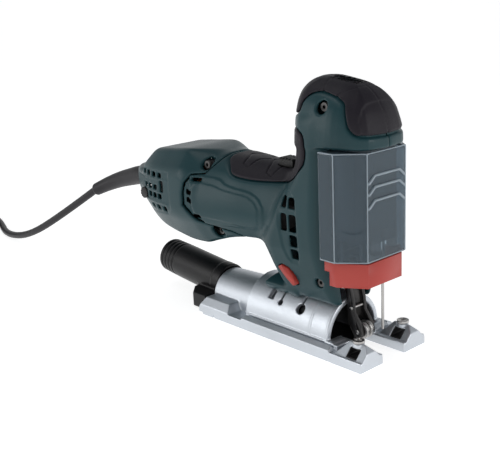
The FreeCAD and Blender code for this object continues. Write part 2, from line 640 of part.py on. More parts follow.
def strain_relief():
    """A smooth tapered sleeve that curves down from the cover."""
    stations = [
        ((-257, 0, 95), 8.6), ((-272, 0, 93.6), 8.6), ((-288, -0.8, 89.8), 8.1),
        ((-303, -2.6, 85.6), 7.5), ((-319, -6.6, 79.6), 6.7), ((-333, -12.4, 72.9), 5.8),
    ]
    wires = []
    for i, (place, r) in enumerate(stations):
        before = V(*stations[max(i - 1, 0)][0])
        after = V(*stations[min(i + 1, len(stations) - 1)][0])
        along = after - before if i else V(-1, 0, 0)
        wires.append(Part.Wire(Part.makeCircle(r, V(*place), along)))
    sleeve = Part.makeLoft(wires, True, False)
    return sleeve.fuse(rod(-258, 0, 95, (1, 0, 0), 6.5, 6)).removeSplitter()


def cord_coil():
    x, y = COIL_CENTRE
    ring = tube(x, y, 0, (0, 0, 1), COIL_R + COIL_WIDE / 2, COIL_R - COIL_WIDE / 2, COIL_HIGH)
    edges = [e for e in ring.Edges if e.Curve.TypeId == "Part::GeomCircle"]
    return ring.makeFillet(3.0, edges)


def mains_plug():
    """A flat two-pin plug that lies on the coil, with the short tail of lead that it ends."""
    x, y = COIL_CENTRE[0], COIL_CENTRE[1] - PLUG_OFF
    z = COIL_HIGH + 9.0
    wires = []
    for dx, half_y, half_z, r in ((-24, 5.5, 5.5, 4.9), (-12, 10, 8, 6), (4, 17.5, 9, 7), (22, 17, 9, 6)):
        wires.append(rounded(half_y, half_z, r, lambda a, b: V(x + dx, y + a, z + b)))
    body = Part.makeLoft(wires, True, True)
    for s in (-9.5, 9.5):
        body = body.fuse(rod(x + 21, y + s, z, (1, 0, 0), 2.4, 20))
    return body.removeSplitter()


# ---- fixed motor parts and electrics ----
def brush_holders():
    pair = []
    for s in (-1, 1):
        block = box(-189, -175, 13.0, 27.0, MOTOR_Z - 6, MOTOR_Z + 6)
        block = block.cut(box(-186.2, -177.8, 12, 25, MOTOR_Z - 3.2, MOTOR_Z + 3.2))
        pair.append(block if s > 0 else mirror_y(block))
    return Part.makeCompound(pair)


def carbon_brushes():
    face = motor_rod(-190, -170, 11.6)
    pair = []
    for s in (-1, 1):
        brush = box(-186, -178, 10.5, 22.0, MOTOR_Z - 3.0, MOTOR_Z + 3.0).cut(face)
        pair.append(brush if s > 0 else mirror_y(brush))
    return Part.makeCompound(pair)


def motor_frame():
    """The plastic frame behind the stator: rear bearing seat, brush posts and the cover's bosses."""
    seat = motor_tube(-214, -200, 14.0, 9.5)
    plate = box(-214, -209, -30, 30, MOTOR_Z - 6, MOTOR_Z + 6)
    frame = fuse(seat, plate)
    for s in (-1, 1):
        side = [box(-214, -167, 27, 30, MOTOR_Z - 6, MOTOR_Z + 6)]
        side += [box(-173, -167, 20, 28, 70, 105), box(-173, -167, 16, 24, 70, 124)]
        for x, z, face in COVER_SCREWS:
            side.append(box(-173, x + 5, face - 6, face, max(z - 3, 70.2), z + 3))
        side = fuse(*side)
        frame = frame.fuse(side if s > 0 else mirror_y(side))
    for x, z, face in COVER_SCREWS:
        frame = frame.cut(rod(x, -face, z, (0, 1, 0), 1.4, 8)).cut(rod(x, face - 8, z, (0, 1, 0), 1.4, 8))
    return frame.cut(motor_rod(-230, -200, 9.5)).removeSplitter()


def stator_core():
    core = motor_tube(-153, -107, 25.6, 18.4)
    return core.cut(box(-160, -100, -5, 5, MOTOR_Z + 15, MOTOR_Z + 20.5))


def field_coils():
    rear = motor_tube(-163, -153.1, 24.8, 18.6)
    front = motor_tube(-106.9, -97, 24.8, 18.6)
    return Part.makeCompound([rear, front])


def bearing(x0, x1, outer):
    race = motor_tube(x0, x1, outer, 4.02)
    groove = motor_tube(x0 - 0.1, x0 + 0.8, outer - 1.8, 5.8)
    return race.cut(groove)


def speed_dial():
    dial = rod(DIAL_X, -33.8, DIAL_Z, (0, 1, 0), DIAL_R, 8)
    for i in range(12):
        a = math.radians(30 * i)
        groove = rod(DIAL_X + DIAL_R * math.cos(a), -35.8, DIAL_Z + DIAL_R * math.sin(a), (0, 1, 0), 0.5, 3)
        dial = dial.cut(groove)
    return dial.fuse(rod(DIAL_X, -27.5, DIAL_Z, (0, 1, 0), 2.0, 6)).removeSplitter()


def switch_slider():
    slider = box(-86.4, -72, -6.2, 6.2, 125.5, 132.8)
    for i in range(4):
        slider = slider.cut(box(-84.5 + 3 * i, -83.3 + 3 * i, -7, 7, 132, 133.5))
    return slider


def blower_slider():
    return side_prism(BUTTON, -28.6, -21.5)


def pendulum_knob():
    disc = rod(-62, 30.6, 60, (0, 1, 0), 8.5, 3.2)
    wing = box(-76, -50, 33.4, 37.6, 57.4, 62.6)
    knob = disc.fuse(wing).fuse(rod(-62, 18, 60, (0, 1, 0), 4.1, 14))
    return knob.removeSplitter()


def clamp_screw(side):
    """Socket-head screw that clamps a guide bar in a toe."""
    y = side * TOE_SCREW_Y
    head = rod(WINDOW_X, y, TOE_H + 0.6, (0, 0, 1), 4.4, 2.1)
    shank = rod(WINDOW_X, y, WINDOW_Z[1] + 0.3, (0, 0, 1), 2.45, 4)
    corners = [math.radians(60 * i) for i in range(6)]
    socket = plan_prism([(WINDOW_X + 2.4 * math.cos(a), y + 2.4 * math.sin(a)) for a in corners], 17.4, 20)
    return head.fuse(shank).cut(socket)


def tilt_screw():
    """The bevel clamp screw: its head inside the drum, its thread in the housing's saddle."""
    shank = rod(TILT_X, 0, 32.5, (0, 0, 1), 2.38, 10.5)
    head = rod(TILT_X, 0, 28.5, (0, 0, 1), 4.5, 4.4)
    return head.fuse(shank).cut(rod(TILT_X, 0, 28.4, (0, 0, 1), 2.0, 2.4))


# ---- write every sub-part ----
right, left, cover, neck, cap = shells()
save(right, "housing_right")
save(left, "housing_left")
save(cover, "rear_cover")
save(neck, "grip_neck")
save(cap, "grip_cap")
for i, (x, z) in enumerate(SHELL_SCREWS):
    save(pan_screw(x, -23.6, z, (0, 1, 0), 16), f"housing_screw_{i + 1}")
for i, (x, z, face) in enumerate(COVER_SCREWS):
    save(pan_screw(x, -face - 2.65, z, (0, 1, 0), 5), f"cover_screw_right_{i + 1}")
    save(pan_screw(x, face + 2.65, z, (0, -1, 0), 5), f"cover_screw_left_{i + 1}")
save(gear_case(), "gear_case")
save(plunger_bushes(), "plunger_bushes")
save(rod(-46, 0, GEAR_Z, (1, 0, 0), 3.98, 19.6), "gear_shaft")
save(bearing(-58, -50, 10.95), "front_bearing")
save(bearing(-208, -201, 9.45), "rear_bearing")
save(motor_frame(), "motor_frame")
save(stator_core(), "stator_core")
save(field_coils(), "field_coils")
save(brush_holders(), "brush_holders")
save(carbon_brushes(), "carbon_brushes")
save(box(-79, -66, -9, 9, 108, 124), "switch_body")
save(box(-226, -214.3, -12, 12, 76, 86), "speed_module")
save(wire_guard(), "wire_guard")
save(tilt_screw(), "tilt_screw")
save(rod(FORK_PIVOT[0], -13, FORK_PIVOT[1], (0, 1, 0), 2.0, 26), "fork_pivot_pin")
shaft, core, winding, front_turns, commutator = armature_parts()
save(shaft, "armature_shaft")
save(core, "armature_core")
save(Part.makeCompound([winding, front_turns]), "armature_winding")
save(commutator, "commutator")
save(fan(), "cooling_fan")
save(drive_gear(), "drive_gear")
save(crank_pin(), "crank_pin")
save(plunger_rod(), "plunger_rod")
save(yoke(), "plunger_yoke")
save(blade_clamp(), "blade_clamp")
save(clamp_sleeve(), "clamp_sleeve")
save(lever(), "release_lever")
save(lever_pin(), "lever_pin")
save(lever_spring(), "lever_spring")
save(clear_guard(), "clear_guard")
save(roller_fork(), "roller_fork")
save(rod(CROSS_X, -7.8, 31.5, (0, 1, 0), 1.19, 15.6), "fork_cross_pin")
save(rod(ROLLER_X, -7.6, ROLLER_Z, (0, 1, 0), 1.74, 15.2), "roller_axle")
save(guide_roller(), "guide_roller")
save(pendulum_knob(), "pendulum_knob")
save(blower_slider(), "blower_slider")
save(switch_slider(), "switch_slider")
save(speed_dial(), "speed_dial")
save(base_plate(), "base_plate")
save(clamp_screw(-1), "bar_screw_right")
save(clamp_screw(1), "bar_screw_left")
save(dust_pipe(), "dust_pipe")
save(strain_relief(), "strain_relief")
coil = save(cord_coil(), "cord_coil")
lead = cord_route(ROUTE, CORD_D / 2).cut(coil)
save(max(lead.Solids, key=lambda solid: solid.Volume), "cord_lead")
save(mains_plug(), "mains_plug")
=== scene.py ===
import json
import math

import bpy
import numpy as np
import openvdb
from mathutils import Matrix, Vector

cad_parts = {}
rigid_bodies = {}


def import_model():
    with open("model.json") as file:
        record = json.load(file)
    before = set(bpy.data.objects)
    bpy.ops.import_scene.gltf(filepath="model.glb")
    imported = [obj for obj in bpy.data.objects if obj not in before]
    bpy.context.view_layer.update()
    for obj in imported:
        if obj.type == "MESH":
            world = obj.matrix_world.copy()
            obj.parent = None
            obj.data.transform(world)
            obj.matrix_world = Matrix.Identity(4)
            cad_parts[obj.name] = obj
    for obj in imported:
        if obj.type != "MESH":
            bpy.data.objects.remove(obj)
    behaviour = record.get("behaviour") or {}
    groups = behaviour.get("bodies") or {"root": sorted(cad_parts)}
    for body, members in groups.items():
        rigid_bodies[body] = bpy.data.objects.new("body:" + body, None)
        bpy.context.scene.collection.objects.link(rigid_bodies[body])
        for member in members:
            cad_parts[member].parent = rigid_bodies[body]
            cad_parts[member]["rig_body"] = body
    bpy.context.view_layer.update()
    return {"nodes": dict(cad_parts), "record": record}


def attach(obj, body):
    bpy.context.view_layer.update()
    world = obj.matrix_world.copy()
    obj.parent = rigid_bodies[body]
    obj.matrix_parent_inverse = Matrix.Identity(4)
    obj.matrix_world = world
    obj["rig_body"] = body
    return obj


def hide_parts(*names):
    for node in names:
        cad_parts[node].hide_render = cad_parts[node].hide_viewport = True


# Looks for a corded jigsaw. Moulded and cast pieces are built as distance fields in millimetres,
# which gives their edges and seams real rounding, and are turned into meshes in metres.

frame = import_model()
nodes = frame["nodes"]
slots = {entry["node"]: entry["material_slot"] for entry in frame["record"]["subparts"]}
MM = 0.001

# ---- driving dimensions, mm, the same ones as in the CAD part ----
TILT_Z = 10.0
DRUM_R = 28.0
DRUM_HOLE = 24.0
DRUM_X = (-106.0, -21.0)
SADDLE_R = 36.0
SADDLE_GAP = 0.3
WALL = 2.8
BASE_X = (-154.0, 16.0)
BASE_HALF = 35.5
GAP_HALF = 11.7
TOE_TOP = 16.2
WINDOW_X = 5.0
WINDOW_HALF = 4.7
WINDOW_Z = (7.4, 13.4)
SCREW_Y = 24.5
TILT_X = -84.0
DUCT_Z = TILT_Z + 4
CORD_D = 7.0
TOWER_FRONT = -21.5
ROUTE = [
    (-333.2, -12.5, 72.8), (-382.4, -25.6, 40.8), (-437, -34, 12.5), (-490, -32, 3.5),
    (-545, -10.5, 3.5), (-600, 1, 3.5),
]
COIL_CENTRE = (-600.0, -48.0)
COIL_TURNS = [
    (49, 3.5), (42, 3.5), (35, 3.5), (28, 3.5), (28, 10.5), (35, 10.5), (42, 10.5), (49, 10.5),
    (49, 17.5), (42, 17.5),
]
PLUG_TAIL = (-622.0, -82.5, 30.0)


# ---- distance fields ----
class Grid:
    """Sample points on cubes of one step over a box, in millimetres."""

    def __init__(self, low, high, step):
        self.low, self.step = np.array(low, float), step
        count = np.ceil((np.array(high) - self.low) / step).astype(int) + 1
        axes = [(self.low[i] + step * np.arange(count[i])).astype(np.float32) for i in range(3)]
        self.x = axes[0][:, None, None]
        self.y = axes[1][None, :, None]
        self.z = axes[2][None, None, :]
        self.shape = tuple(count)


def join(a, b, blend=0.5):
    """The union of two fields with a fillet of about blend."""
    h = np.clip(1 - np.abs(a - b) / blend, 0, None)
    return np.minimum(a, b) - h * h * blend / 4


def meet(a, b, blend=0.5):
    """What two fields share, with its new edges rounded."""
    return -join(-a, -b, blend)


def cut(a, b, blend=0.5):
    """The first field with the second taken away."""
    return -join(-a, b, blend)


def nearest(fields):
    """The union of several fields, without a fillet."""
    best = None
    for field in fields:
        best = field if best is None else np.minimum(best, field)
    return best


def block(g, x, y, z, radius=0.5):
    """A box between three (low, high) pairs, with rounded edges."""
    q = []
    for axis, (low, high) in zip((g.x, g.y, g.z), (x, y, z)):
        q.append(np.abs(axis - (low + high) / 2) - (high - low) / 2 + radius)
    outside = np.sqrt(sum(np.maximum(d, 0) ** 2 for d in q))
    return outside + np.minimum(np.maximum(np.maximum(q[0], q[1]), q[2]), 0) - radius


def bar(g, axis, centre, radius, low=-1e4, high=1e4, blend=0.5):
    """A round bar along an axis name, about a centre in the other two, between two ends."""
    along = getattr(g, axis)
    a, b = [getattr(g, n) for n in "xyz" if n != axis]
    round_wall = np.sqrt((a - centre[0]) ** 2 + (b - centre[1]) ** 2) - radius
    return meet(round_wall, np.abs(along - (low + high) / 2) - (high - low) / 2, blend)


def soften(points, rounds=2):
    """Cuts the corners of a closed outline, which rounds them."""
    for _ in range(rounds):
        nxt = points[1:] + points[:1]
        points = [
            (a[0] + (b[0] - a[0]) * t, a[1] + (b[1] - a[1]) * t)
            for a, b in zip(points, nxt) for t in (0.2, 0.8)]
    return points


def outline(points, u, v):
    """Signed distance to a closed outline in the plane of u and v."""
    best = np.full(np.broadcast_shapes(u.shape, v.shape), 1e9, np.float32)
    inside = np.zeros(best.shape, bool)
    for (ax, ay), (bx, by) in zip(points, points[1:] + points[:1]):
        ex, ey = bx - ax, by - ay
        t = np.clip(((u - ax) * ex + (v - ay) * ey) / (ex * ex + ey * ey), 0, 1)
        best = np.minimum(best, (u - ax - ex * t) ** 2 + (v - ay - ey * t) ** 2)
        if ay != by:
            inside ^= ((ay > v) != (by > v)) & (u < ex * (v - ay) / ey + ax)
    return np.where(inside, -1, 1) * np.sqrt(best)


def line(points, u, v):
    """Distance to an open line in the plane of u and v."""
    best = np.full(np.broadcast_shapes(u.shape, v.shape), 1e9, np.float32)
    for (ax, ay), (bx, by) in zip(points, points[1:]):
        ex, ey = bx - ax, by - ay
        t = np.clip(((u - ax) * ex + (v - ay) * ey) / (ex * ex + ey * ey), 0, 1)
        best = np.minimum(best, (u - ax - ex * t) ** 2 + (v - ay - ey * t) ** 2)
    return np.sqrt(best)


def dent(distance, width):
    """1 on a line, falling smoothly to 0 at half a width from it."""
    t = np.clip(1 - 2 * distance / width, 0, 1)
    return t * t * (3 - 2 * t)


def step_up(distance, width):
    """0 outside an outline, rising smoothly to 1 at a width inside it."""
    t = np.clip(-distance / width, 0, 1)
    return t * t * (3 - 2 * t)


def curve(places, values, at):
    """A smooth curve without overshoot through values at rising places."""
    p, v = np.array(places, float), np.array(values, float)
    d = np.diff(v) / np.diff(p)
    both = d[1:] * d[:-1]
    inner = np.where(both > 0, 2 * both / (d[1:] + d[:-1] + 1e-12), 0)
    m = np.concatenate([[d[0]], inner, [d[-1]]])
    at = np.clip(at, p[0], p[-1])
    i = np.clip(np.searchsorted(p, at) - 1, 0, len(p) - 2)
    h = p[i + 1] - p[i]
    t = (at - p[i]) / h
    return (
        (2 * t**3 - 3 * t**2 + 1) * v[i] + (t**3 - 2 * t**2 + t) * h * m[i]
        + (3 * t**2 - 2 * t**3) * v[i + 1] + (t**3 - t**2) * h * m[i + 1])


def rounded_rect(a, b, half_a, half_b, radius):
    """Signed distance to a rectangle with rounded corners, about the origin."""
    qa, qb = np.abs(a) - half_a + radius, np.abs(b) - half_b + radius
    outside = np.sqrt(np.maximum(qa, 0) ** 2 + np.maximum(qb, 0) ** 2)
    return outside + np.minimum(np.maximum(qa, qb), 0) - radius


# ---- meshes ----
def finish_piece(obj, body, slot, *replaced, look=None):
    """Puts a piece on its body, in the material of its slot unless another look is named."""
    obj.data.materials.clear()
    obj.data.materials.append(MATS[look or slot])
    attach(obj, body)
    if replaced:
        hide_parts(*replaced)


def new_object(name, data):
    obj = bpy.data.objects.new(name, data)
    bpy.context.scene.collection.objects.link(obj)
    return obj


def mesh_object(name, verts, faces):
    mesh = bpy.data.meshes.new(name)
    mesh.from_pydata([tuple(v) for v in verts], [], [tuple(f) for f in faces])
    mesh.update()
    mesh.shade_smooth()
    return new_object(name, mesh)


def skin(name, g, field):
    """The surface of a field as a smooth-shaded mesh."""
    far = 2.0
    near = np.broadcast_to(np.clip(field, -far, far), g.shape)
    volume = openvdb.FloatGrid(background=far)
    volume.copyFromArray(np.array(near, np.float32, order="C"))
    points, _, quads = volume.convertToPolygons(isovalue=0.0, adaptivity=0.0)
    mesh = bpy.data.meshes.new(name)
    mesh.vertices.add(len(points))
    mesh.vertices.foreach_set("co", ((points * g.step + g.low) * MM).astype(np.float32).ravel())
    mesh.loops.add(len(quads) * 4)
    mesh.loops.foreach_set("vertex_index", quads.astype(np.int32).ravel())
    mesh.polygons.add(len(quads))
    mesh.polygons.foreach_set("loop_start", np.arange(0, len(quads) * 4, 4, dtype=np.int32))
    mesh.update(calc_edges=True)
    mesh.validate()
    mesh.shade_smooth()
    return new_object(name, mesh)


def bevelled(node, width):
    """A copy of a CAD node with its edges rounded, which stands for it."""
    obj = new_object(node + "_detail", nodes[node].data.copy())
    merge = obj.modifiers.new("merge", "WELD")
    merge.merge_threshold = 0.00001
    flat = obj.modifiers.new("flat", "DECIMATE")
    flat.decimate_type = "DISSOLVE"
    flat.angle_limit = math.radians(1.0)
    edge = obj.modifiers.new("edge", "BEVEL")
    edge.width = width * MM
    edge.segments = 2
    edge.limit_method = "ANGLE"
    edge.angle_limit = math.radians(35)
    edge.harden_normals = True
    evaluated = obj.evaluated_get(bpy.context.evaluated_depsgraph_get())
    mesh = bpy.data.meshes.new_from_object(evaluated)
    obj.modifiers.clear()
    obj.data = mesh
    obj.data.shade_smooth()
    obj.data.set_sharp_from_angle(angle=math.radians(50))
    finish_piece(obj, nodes[node]["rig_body"], slots[node], node)


# ---- materials ----
def material(name, colour, roughness, metallic=0.0, spread=0.12, patch=18.0,
             grain=(2200.0, 0.15, 0.00006), rough_spread=0.06, edge=0.0, wear_and_highlight_colour=None,
             **sockets):
    """A moulded or cast surface: colour that varies in patches, a fine grain in the bump and the
    roughness, and edges tinted towards another colour, which is wear and also a painted edge
    highlight. The grain is its scale, strength and depth in metres, and the other sockets go to the
    shader under their own names."""
    mat = bpy.data.materials.new(name)
    mat.use_nodes = True
    tree = mat.node_tree
    shader = tree.nodes["Principled BSDF"]
    shader.inputs["Metallic"].default_value = metallic
    for socket, value in sockets.items():
        shader.inputs[socket.replace("_", " ")].default_value = value
    place = tree.nodes.new("ShaderNodeTexCoord")
    big = tree.nodes.new("ShaderNodeTexNoise")
    big.inputs["Scale"].default_value = patch
    big.inputs["Detail"].default_value = 4.0
    fine = tree.nodes.new("ShaderNodeTexNoise")
    scale, strength, depth = grain
    fine.inputs["Scale"].default_value = scale
    fine.inputs["Detail"].default_value = 2.0
    for noise in (big, fine):
        tree.links.new(place.outputs["Object"], noise.inputs["Vector"])
    ramp = tree.nodes.new("ShaderNodeValToRGB")
    dark, light = ramp.color_ramp.elements
    dark.position, light.position = 0.3, 0.7
    dark.color = [c * (1 - spread) for c in colour] + [1]
    light.color = [min(c * (1 + spread), 1) for c in colour] + [1]
    tree.links.new(big.outputs["Fac"], ramp.inputs["Fac"])
    out = ramp.outputs["Color"]
    # convex edges tinted lighter: wear, and on the clear guard a painted highlight along its edges
    if edge:
        shape = tree.nodes.new("ShaderNodeNewGeometry")
        pick = tree.nodes.new("ShaderNodeMapRange")
        pick.inputs["From Min"].default_value = 0.52
        pick.inputs["From Max"].default_value = 0.62
        pick.inputs["To Max"].default_value = edge
        mix = tree.nodes.new("ShaderNodeMix")
        mix.data_type = "RGBA"
        wear_and_highlight = wear_and_highlight_colour or [min(c * 1.8 + 0.03, 1) for c in colour]
        mix.inputs["B"].default_value = wear_and_highlight + [1]
        tree.links.new(shape.outputs["Pointiness"], pick.inputs["Value"])
        tree.links.new(pick.outputs["Result"], mix.inputs["Factor"])
        tree.links.new(out, mix.inputs["A"])
        out = mix.outputs["Result"]
    tree.links.new(out, shader.inputs["Base Color"])
    gloss = tree.nodes.new("ShaderNodeMapRange")
    gloss.inputs["From Min"].default_value = 0.3
    gloss.inputs["From Max"].default_value = 0.7
    gloss.inputs["To Min"].default_value = roughness - rough_spread
    gloss.inputs["To Max"].default_value = roughness + rough_spread
    tree.links.new(fine.outputs["Fac"], gloss.inputs["Value"])
    tree.links.new(gloss.outputs["Result"], shader.inputs["Roughness"])
    bump = tree.nodes.new("ShaderNodeBump")
    bump.inputs["Strength"].default_value = strength
    bump.inputs["Distance"].default_value = depth
    tree.links.new(fine.outputs["Fac"], bump.inputs["Height"])
    tree.links.new(bump.outputs["Normal"], shader.inputs["Normal"])
    return mat


def srgb(r, g, b):
    """A colour as it looks on screen, 0 to 255, turned into the shader's linear numbers."""
    return [((c / 255 + 0.055) / 1.055) ** 2.4 if c > 10 else c / 3295 for c in (r, g, b)]


MATS = {
    "teal_shell": material(
        "teal_shell", srgb(24, 56, 61), 0.36, spread=0.08, edge=0.3,
        wear_and_highlight_colour=srgb(66, 98, 102), grain=(1500.0, 0.25, 0.00006), Specular_IOR_Level=0.28),
    "soft_grip": material(
        "soft_grip", srgb(24, 20, 28), 0.5, spread=0.12, edge=0.3, wear_and_highlight_colour=srgb(70, 64, 72),
        grain=(1300.0, 0.5, 0.00010), Specular_IOR_Level=0.25),
    "red_plastic": material(
        "red_plastic", srgb(166, 48, 40), 0.36, spread=0.06, edge=0.35,
        wear_and_highlight_colour=srgb(196, 100, 88), grain=(1800.0, 0.15, 0.00005), Specular_IOR_Level=0.4),
    "cast_aluminium": material(
        "cast_aluminium", srgb(203, 208, 214), 0.42, metallic=0.9, spread=0.06, edge=0.6,
        wear_and_highlight_colour=srgb(232, 235, 240), grain=(900.0, 0.45, 0.00012)),
    "grey_casting": material(
        "grey_casting", srgb(70, 82, 90), 0.45, spread=0.08, edge=0.3,
        grain=(900.0, 0.3, 0.00008)),
    "black_plastic": material(
        "black_plastic", srgb(11, 10, 12), 0.36, spread=0.12, edge=0.25,
        grain=(1500.0, 0.25, 0.00006), Specular_IOR_Level=0.3),
    # smoked clear plastic: mostly see-through, with a little haze of its own and a painted
    # highlight along its edges
    "clear_guard": material(
        "clear_guard", srgb(128, 146, 158), 0.03, spread=0.03, grain=(40.0, 0.0, 0.0),
        rough_spread=0.01, edge=0.8, wear_and_highlight_colour=srgb(232, 238, 242), Transmission_Weight=0.80,
        IOR=1.30),
    # a lighter, less clear copy of the guard's plastic: painted highlight for its ridges, rims and
    # corners
    "guard_painted_highlight": material(
        "guard_painted_highlight", srgb(176, 190, 200), 0.12, spread=0.05, patch=60, grain=(40.0, 0.0, 0.0),
        rough_spread=0.02, Transmission_Weight=0.5, IOR=1.45),
    "steel": material(
        "steel", srgb(176, 174, 172), 0.30, metallic=1.0, spread=0.08, patch=60,
        grain=(2600.0, 0.2, 0.00004)),
    "dark_steel": material(
        "dark_steel", srgb(38, 37, 38), 0.38, metallic=0.6, spread=0.15, patch=80, edge=0.5,
        wear_and_highlight_colour=srgb(120, 118, 116)),
    "laminated_steel": material(
        "laminated_steel", srgb(110, 110, 114), 0.45, metallic=0.9, spread=0.2, patch=500),
    "copper": material("copper", srgb(190, 108, 66), 0.35, metallic=0.9, spread=0.2, patch=400),
    "bronze": material("bronze", srgb(176, 140, 86), 0.4, metallic=0.9, spread=0.12, patch=200),
    "carbon": material("carbon", srgb(28, 28, 30), 0.6, spread=0.15, patch=200),
    "lead_rubber": material(
        "lead_rubber", srgb(21, 19, 24), 0.46, spread=0.10, patch=50,
        grain=(1400.0, 0.3, 0.00008), Specular_IOR_Level=0.4),
}
for cad_node, cad_slot in slots.items():
    cad = nodes[cad_node]
    cad.data.materials.clear()
    cad.data.materials.append(MATS[cad_slot])


# ---- housing ----
# z, rear x, front x, half width, front corner radius, rear corner radius
TOWER = [
    (34, -68, -17, 18.6, 6, 6), (48, -74, -20, 25, 8, 8), (60, -80, TOWER_FRONT, 28, 10, 10),
    (78, -84, TOWER_FRONT, 31.5, 12, 14), (100, -76, TOWER_FRONT, 32.5, 13, 18),
    (118, -66, TOWER_FRONT, 31.5, 13, 22), (132, -59.5, TOWER_FRONT, 30.8, 13, 25),
    (150, -58, TOWER_FRONT, 30.5, 14, 26), (168, -57, TOWER_FRONT, 29, 14, 26),
]
HEAD_PLAN = [
    (13.6, 0.0), (10.0, 21.3), (-10.0, 30.8), (-32.0, 31.0), (-46.5, 28.0), (-56.5, 16.5),
    (-60.0, 0.0),
]
HEAD_Z = (150.0, 195.2)
# how far the head's outline has drawn in at each height above its foot
HEAD_RISE = [-9, 0, 12, 21, 29, 35, 40, 43.4, 45.4, 46]
HEAD_SHRINK = [0, 0, 0.3, 1.6, 4.2, 8, 13, 18.5, 25, 31]
# x, low z, top z, half width
MOTOR = [
    (-262, 88, 102, 7), (-256, 82, 110, 14), (-247, 78, 116, 20.5), (-233, 72, 124, 28),
    (-218, 65.5, 128, 34), (-205, 62, 129.5, 37), (-190, 59.5, 131, 38.4), (-168, 57, 133, 39.2),
    (-156, 57.5, 132.5, 39), (-143, 61.5, 131.3, 37.8), (-127, 66.5, 130.4, 36.4),
    (-112, 69.5, 129.7, 34.6), (-90, 71, 128, 31), (-62, 73, 127, 27),
]
# outlines as (x, z), seen from the side
REAR_COVER = [
    (-275, 150), (-136, 150), (-136.5, 129), (-139, 124), (-145.5, 116.5), (-157, 115.3),
    (-162.3, 108.5), (-164.8, 100), (-164.9, 90.5), (-153.8, 82), (-150, 79.8), (-133, 76),
    (-119, 73.8), (-110, 70), (-106, 45), (-275, 45),
]
NECK_GRIP = [
    (-136, 150), (-134, 129), (-125, 124), (-117, 117.5), (-96, 116), (-66, 118), (-52, 124),
    (-43.5, 131), (-37, 138), (-36, 150), (-37.5, 158), (-45, 161.5), (-90, 161.5),
]
CAP_GRIP = [
    (-80, 168), (-56, 168.5), (-43.5, 172.5), (-41.5, 180), (-37, 184.5), (-30, 186.3),
    (-24, 185.6), (-14, 183), (-8, 179.5), (-5.5, 173), (-2.5, 164.5), (1.5, 160.3),
    (7, 158.3), (30, 156.9), (30, 210), (-80, 210),
]
BELT = [
    (-160, 116), (-127, 115.6), (-121, 112.2), (-112, 110.6), (-97, 109.3), (-87, 105.5), (-81, 98),
    (-81, 88), (-88, 79.5), (-120, 78.5), (-150, 76),
]
LABEL = [
    (-131, 110), (-120.6, 107.8), (-98.3, 106.1), (-90, 102.4), (-85.4, 96.9), (-87, 86),
    (-92, 80.7), (-104.5, 80.5), (-124.6, 83.2), (-149, 84), (-152, 92), (-154, 105), (-150, 111),
]
CATCH = [
    (-160, 117), (-155.5, 113), (-155, 104), (-154, 98), (-152, 90), (-149, 84), (-140, 80),
    (-150, 74), (-158, 76), (-170, 90), (-170, 104), (-165, 113),
]
INTAKE = [(-250, 112.4), (-181, 115), (-180, 84), (-186, 78.5), (-226, 74), (-250, 76)]
SHELL_SCREWS = [(-30, 52), (-23.6, 176.8)]
COVER_SCREWS = [(-147, 123.4), (-134.5, 71)]
BUTTON = [
    (-69, 57.2), (-64.5, 59.4), (-58, 57.6), (-53, 52.5), (-51.3, 46.6), (-53.5, 45.2), (-61, 50.4),
]
TOWER_RECESS = [(-63.5, 116), (-47, 117), (-44, 100), (-44, 63), (-56, 63), (-61, 76), (-65, 98)]
INTAKE_RIBS = [
    [(-250, 104.6), (-184, 107.4)], [(-250, 96.0), (-197, 96.4)], [(-250, 86.6), (-186, 87.0)],
]
# the dial's x, z and radius
DIAL = (-222.5, 91.0, 4.7)
SEAM = 0.3
# air slots: x and z ranges of the catch's slots, the tower's columns with how many rows each has,
# and the cover's rows with their height, first x, pitch and count
CATCH_SLOTS = [
    ((-155, -146), (110.5, 113.2)), ((-160, -153), (100, 103.2)), ((-160, -153), (93.6, 97)),
    ((-153, -144), (82, 85.4)),
]
TOWER_COLUMNS = [((-61.5, -55.3), 2), ((-53.3, -46.2), 4)]
TOWER_ROWS = [(104, 112), (87, 99.5), (76, 84.5), (66.5, 74)]
COVER_ROWS = [
    (110.0, -221.2, 8.8, 4), (99.2, -219.2, 8.3, 3), (92.2, -211.5, 7.7, 3), (82.4, -209.3, 9.4, 3),
]
COVER_SLOT_HALF = (2.6, 1.9)
# boxes as x, y and z ranges: room for the switch, and the notch in the guard's top
SWITCH_ROOM = ((-87, -66), (-6.7, 6.7), (117, 150))
GUARD_NOTCH = ((-30, 8.4), (-20.4, 20.4), (145.6, 152))
# the guard's outline as (x, y), and the heights of its ridges and rims
GUARD = [(-21, -34), (-7.5, -34), (10, -20), (10, 20), (-7.5, 34), (-21, 34)]
GUARD_RIDGES = (133.0, 125.3, 116.0)
GUARD_RIMS = (148.2, 74.0)
GUARD_WALL = 1.6
GUARD_MIDDLE = 111


def column(g, sections):
    """A body through rounded outlines stacked in z, with its own corner radius front and rear."""
    z, rear, front, half, front_r, rear_r = zip(*sections)
    x0, x1 = curve(z, rear, g.z), curve(z, front, g.z)
    share = np.clip(((x0 + x1) / 2 + 8 - g.x) / 16, 0, 1)
    radius = curve(z, front_r, g.z) * (1 - share) + curve(z, rear_r, g.z) * share
    wall = rounded_rect(g.x - (x0 + x1) / 2, g.y, (x1 - x0) / 2, curve(z, half, g.z), radius)
    return meet(wall, np.abs(g.z - (z[0] + z[-1]) / 2) - (z[-1] - z[0]) / 2, 5)


def head(g):
    """The domed head: one plan outline that draws in towards the top, which falls to the front."""
    plan = outline(soften(HEAD_PLAN + [(x, -y) for x, y in HEAD_PLAN[-2:0:-1]]), g.x, g.y)
    rise = g.z + 0.16 * np.clip(g.x + 36, 0, 60) + 0.35 * np.clip(g.x + 36, -30, 0) - HEAD_Z[0]
    dome = (plan + curve(HEAD_RISE, HEAD_SHRINK, rise)) * 0.9
    return meet(meet(dome, g.z - HEAD_Z[1] - 3, 4), HEAD_Z[0] - g.z, 2)


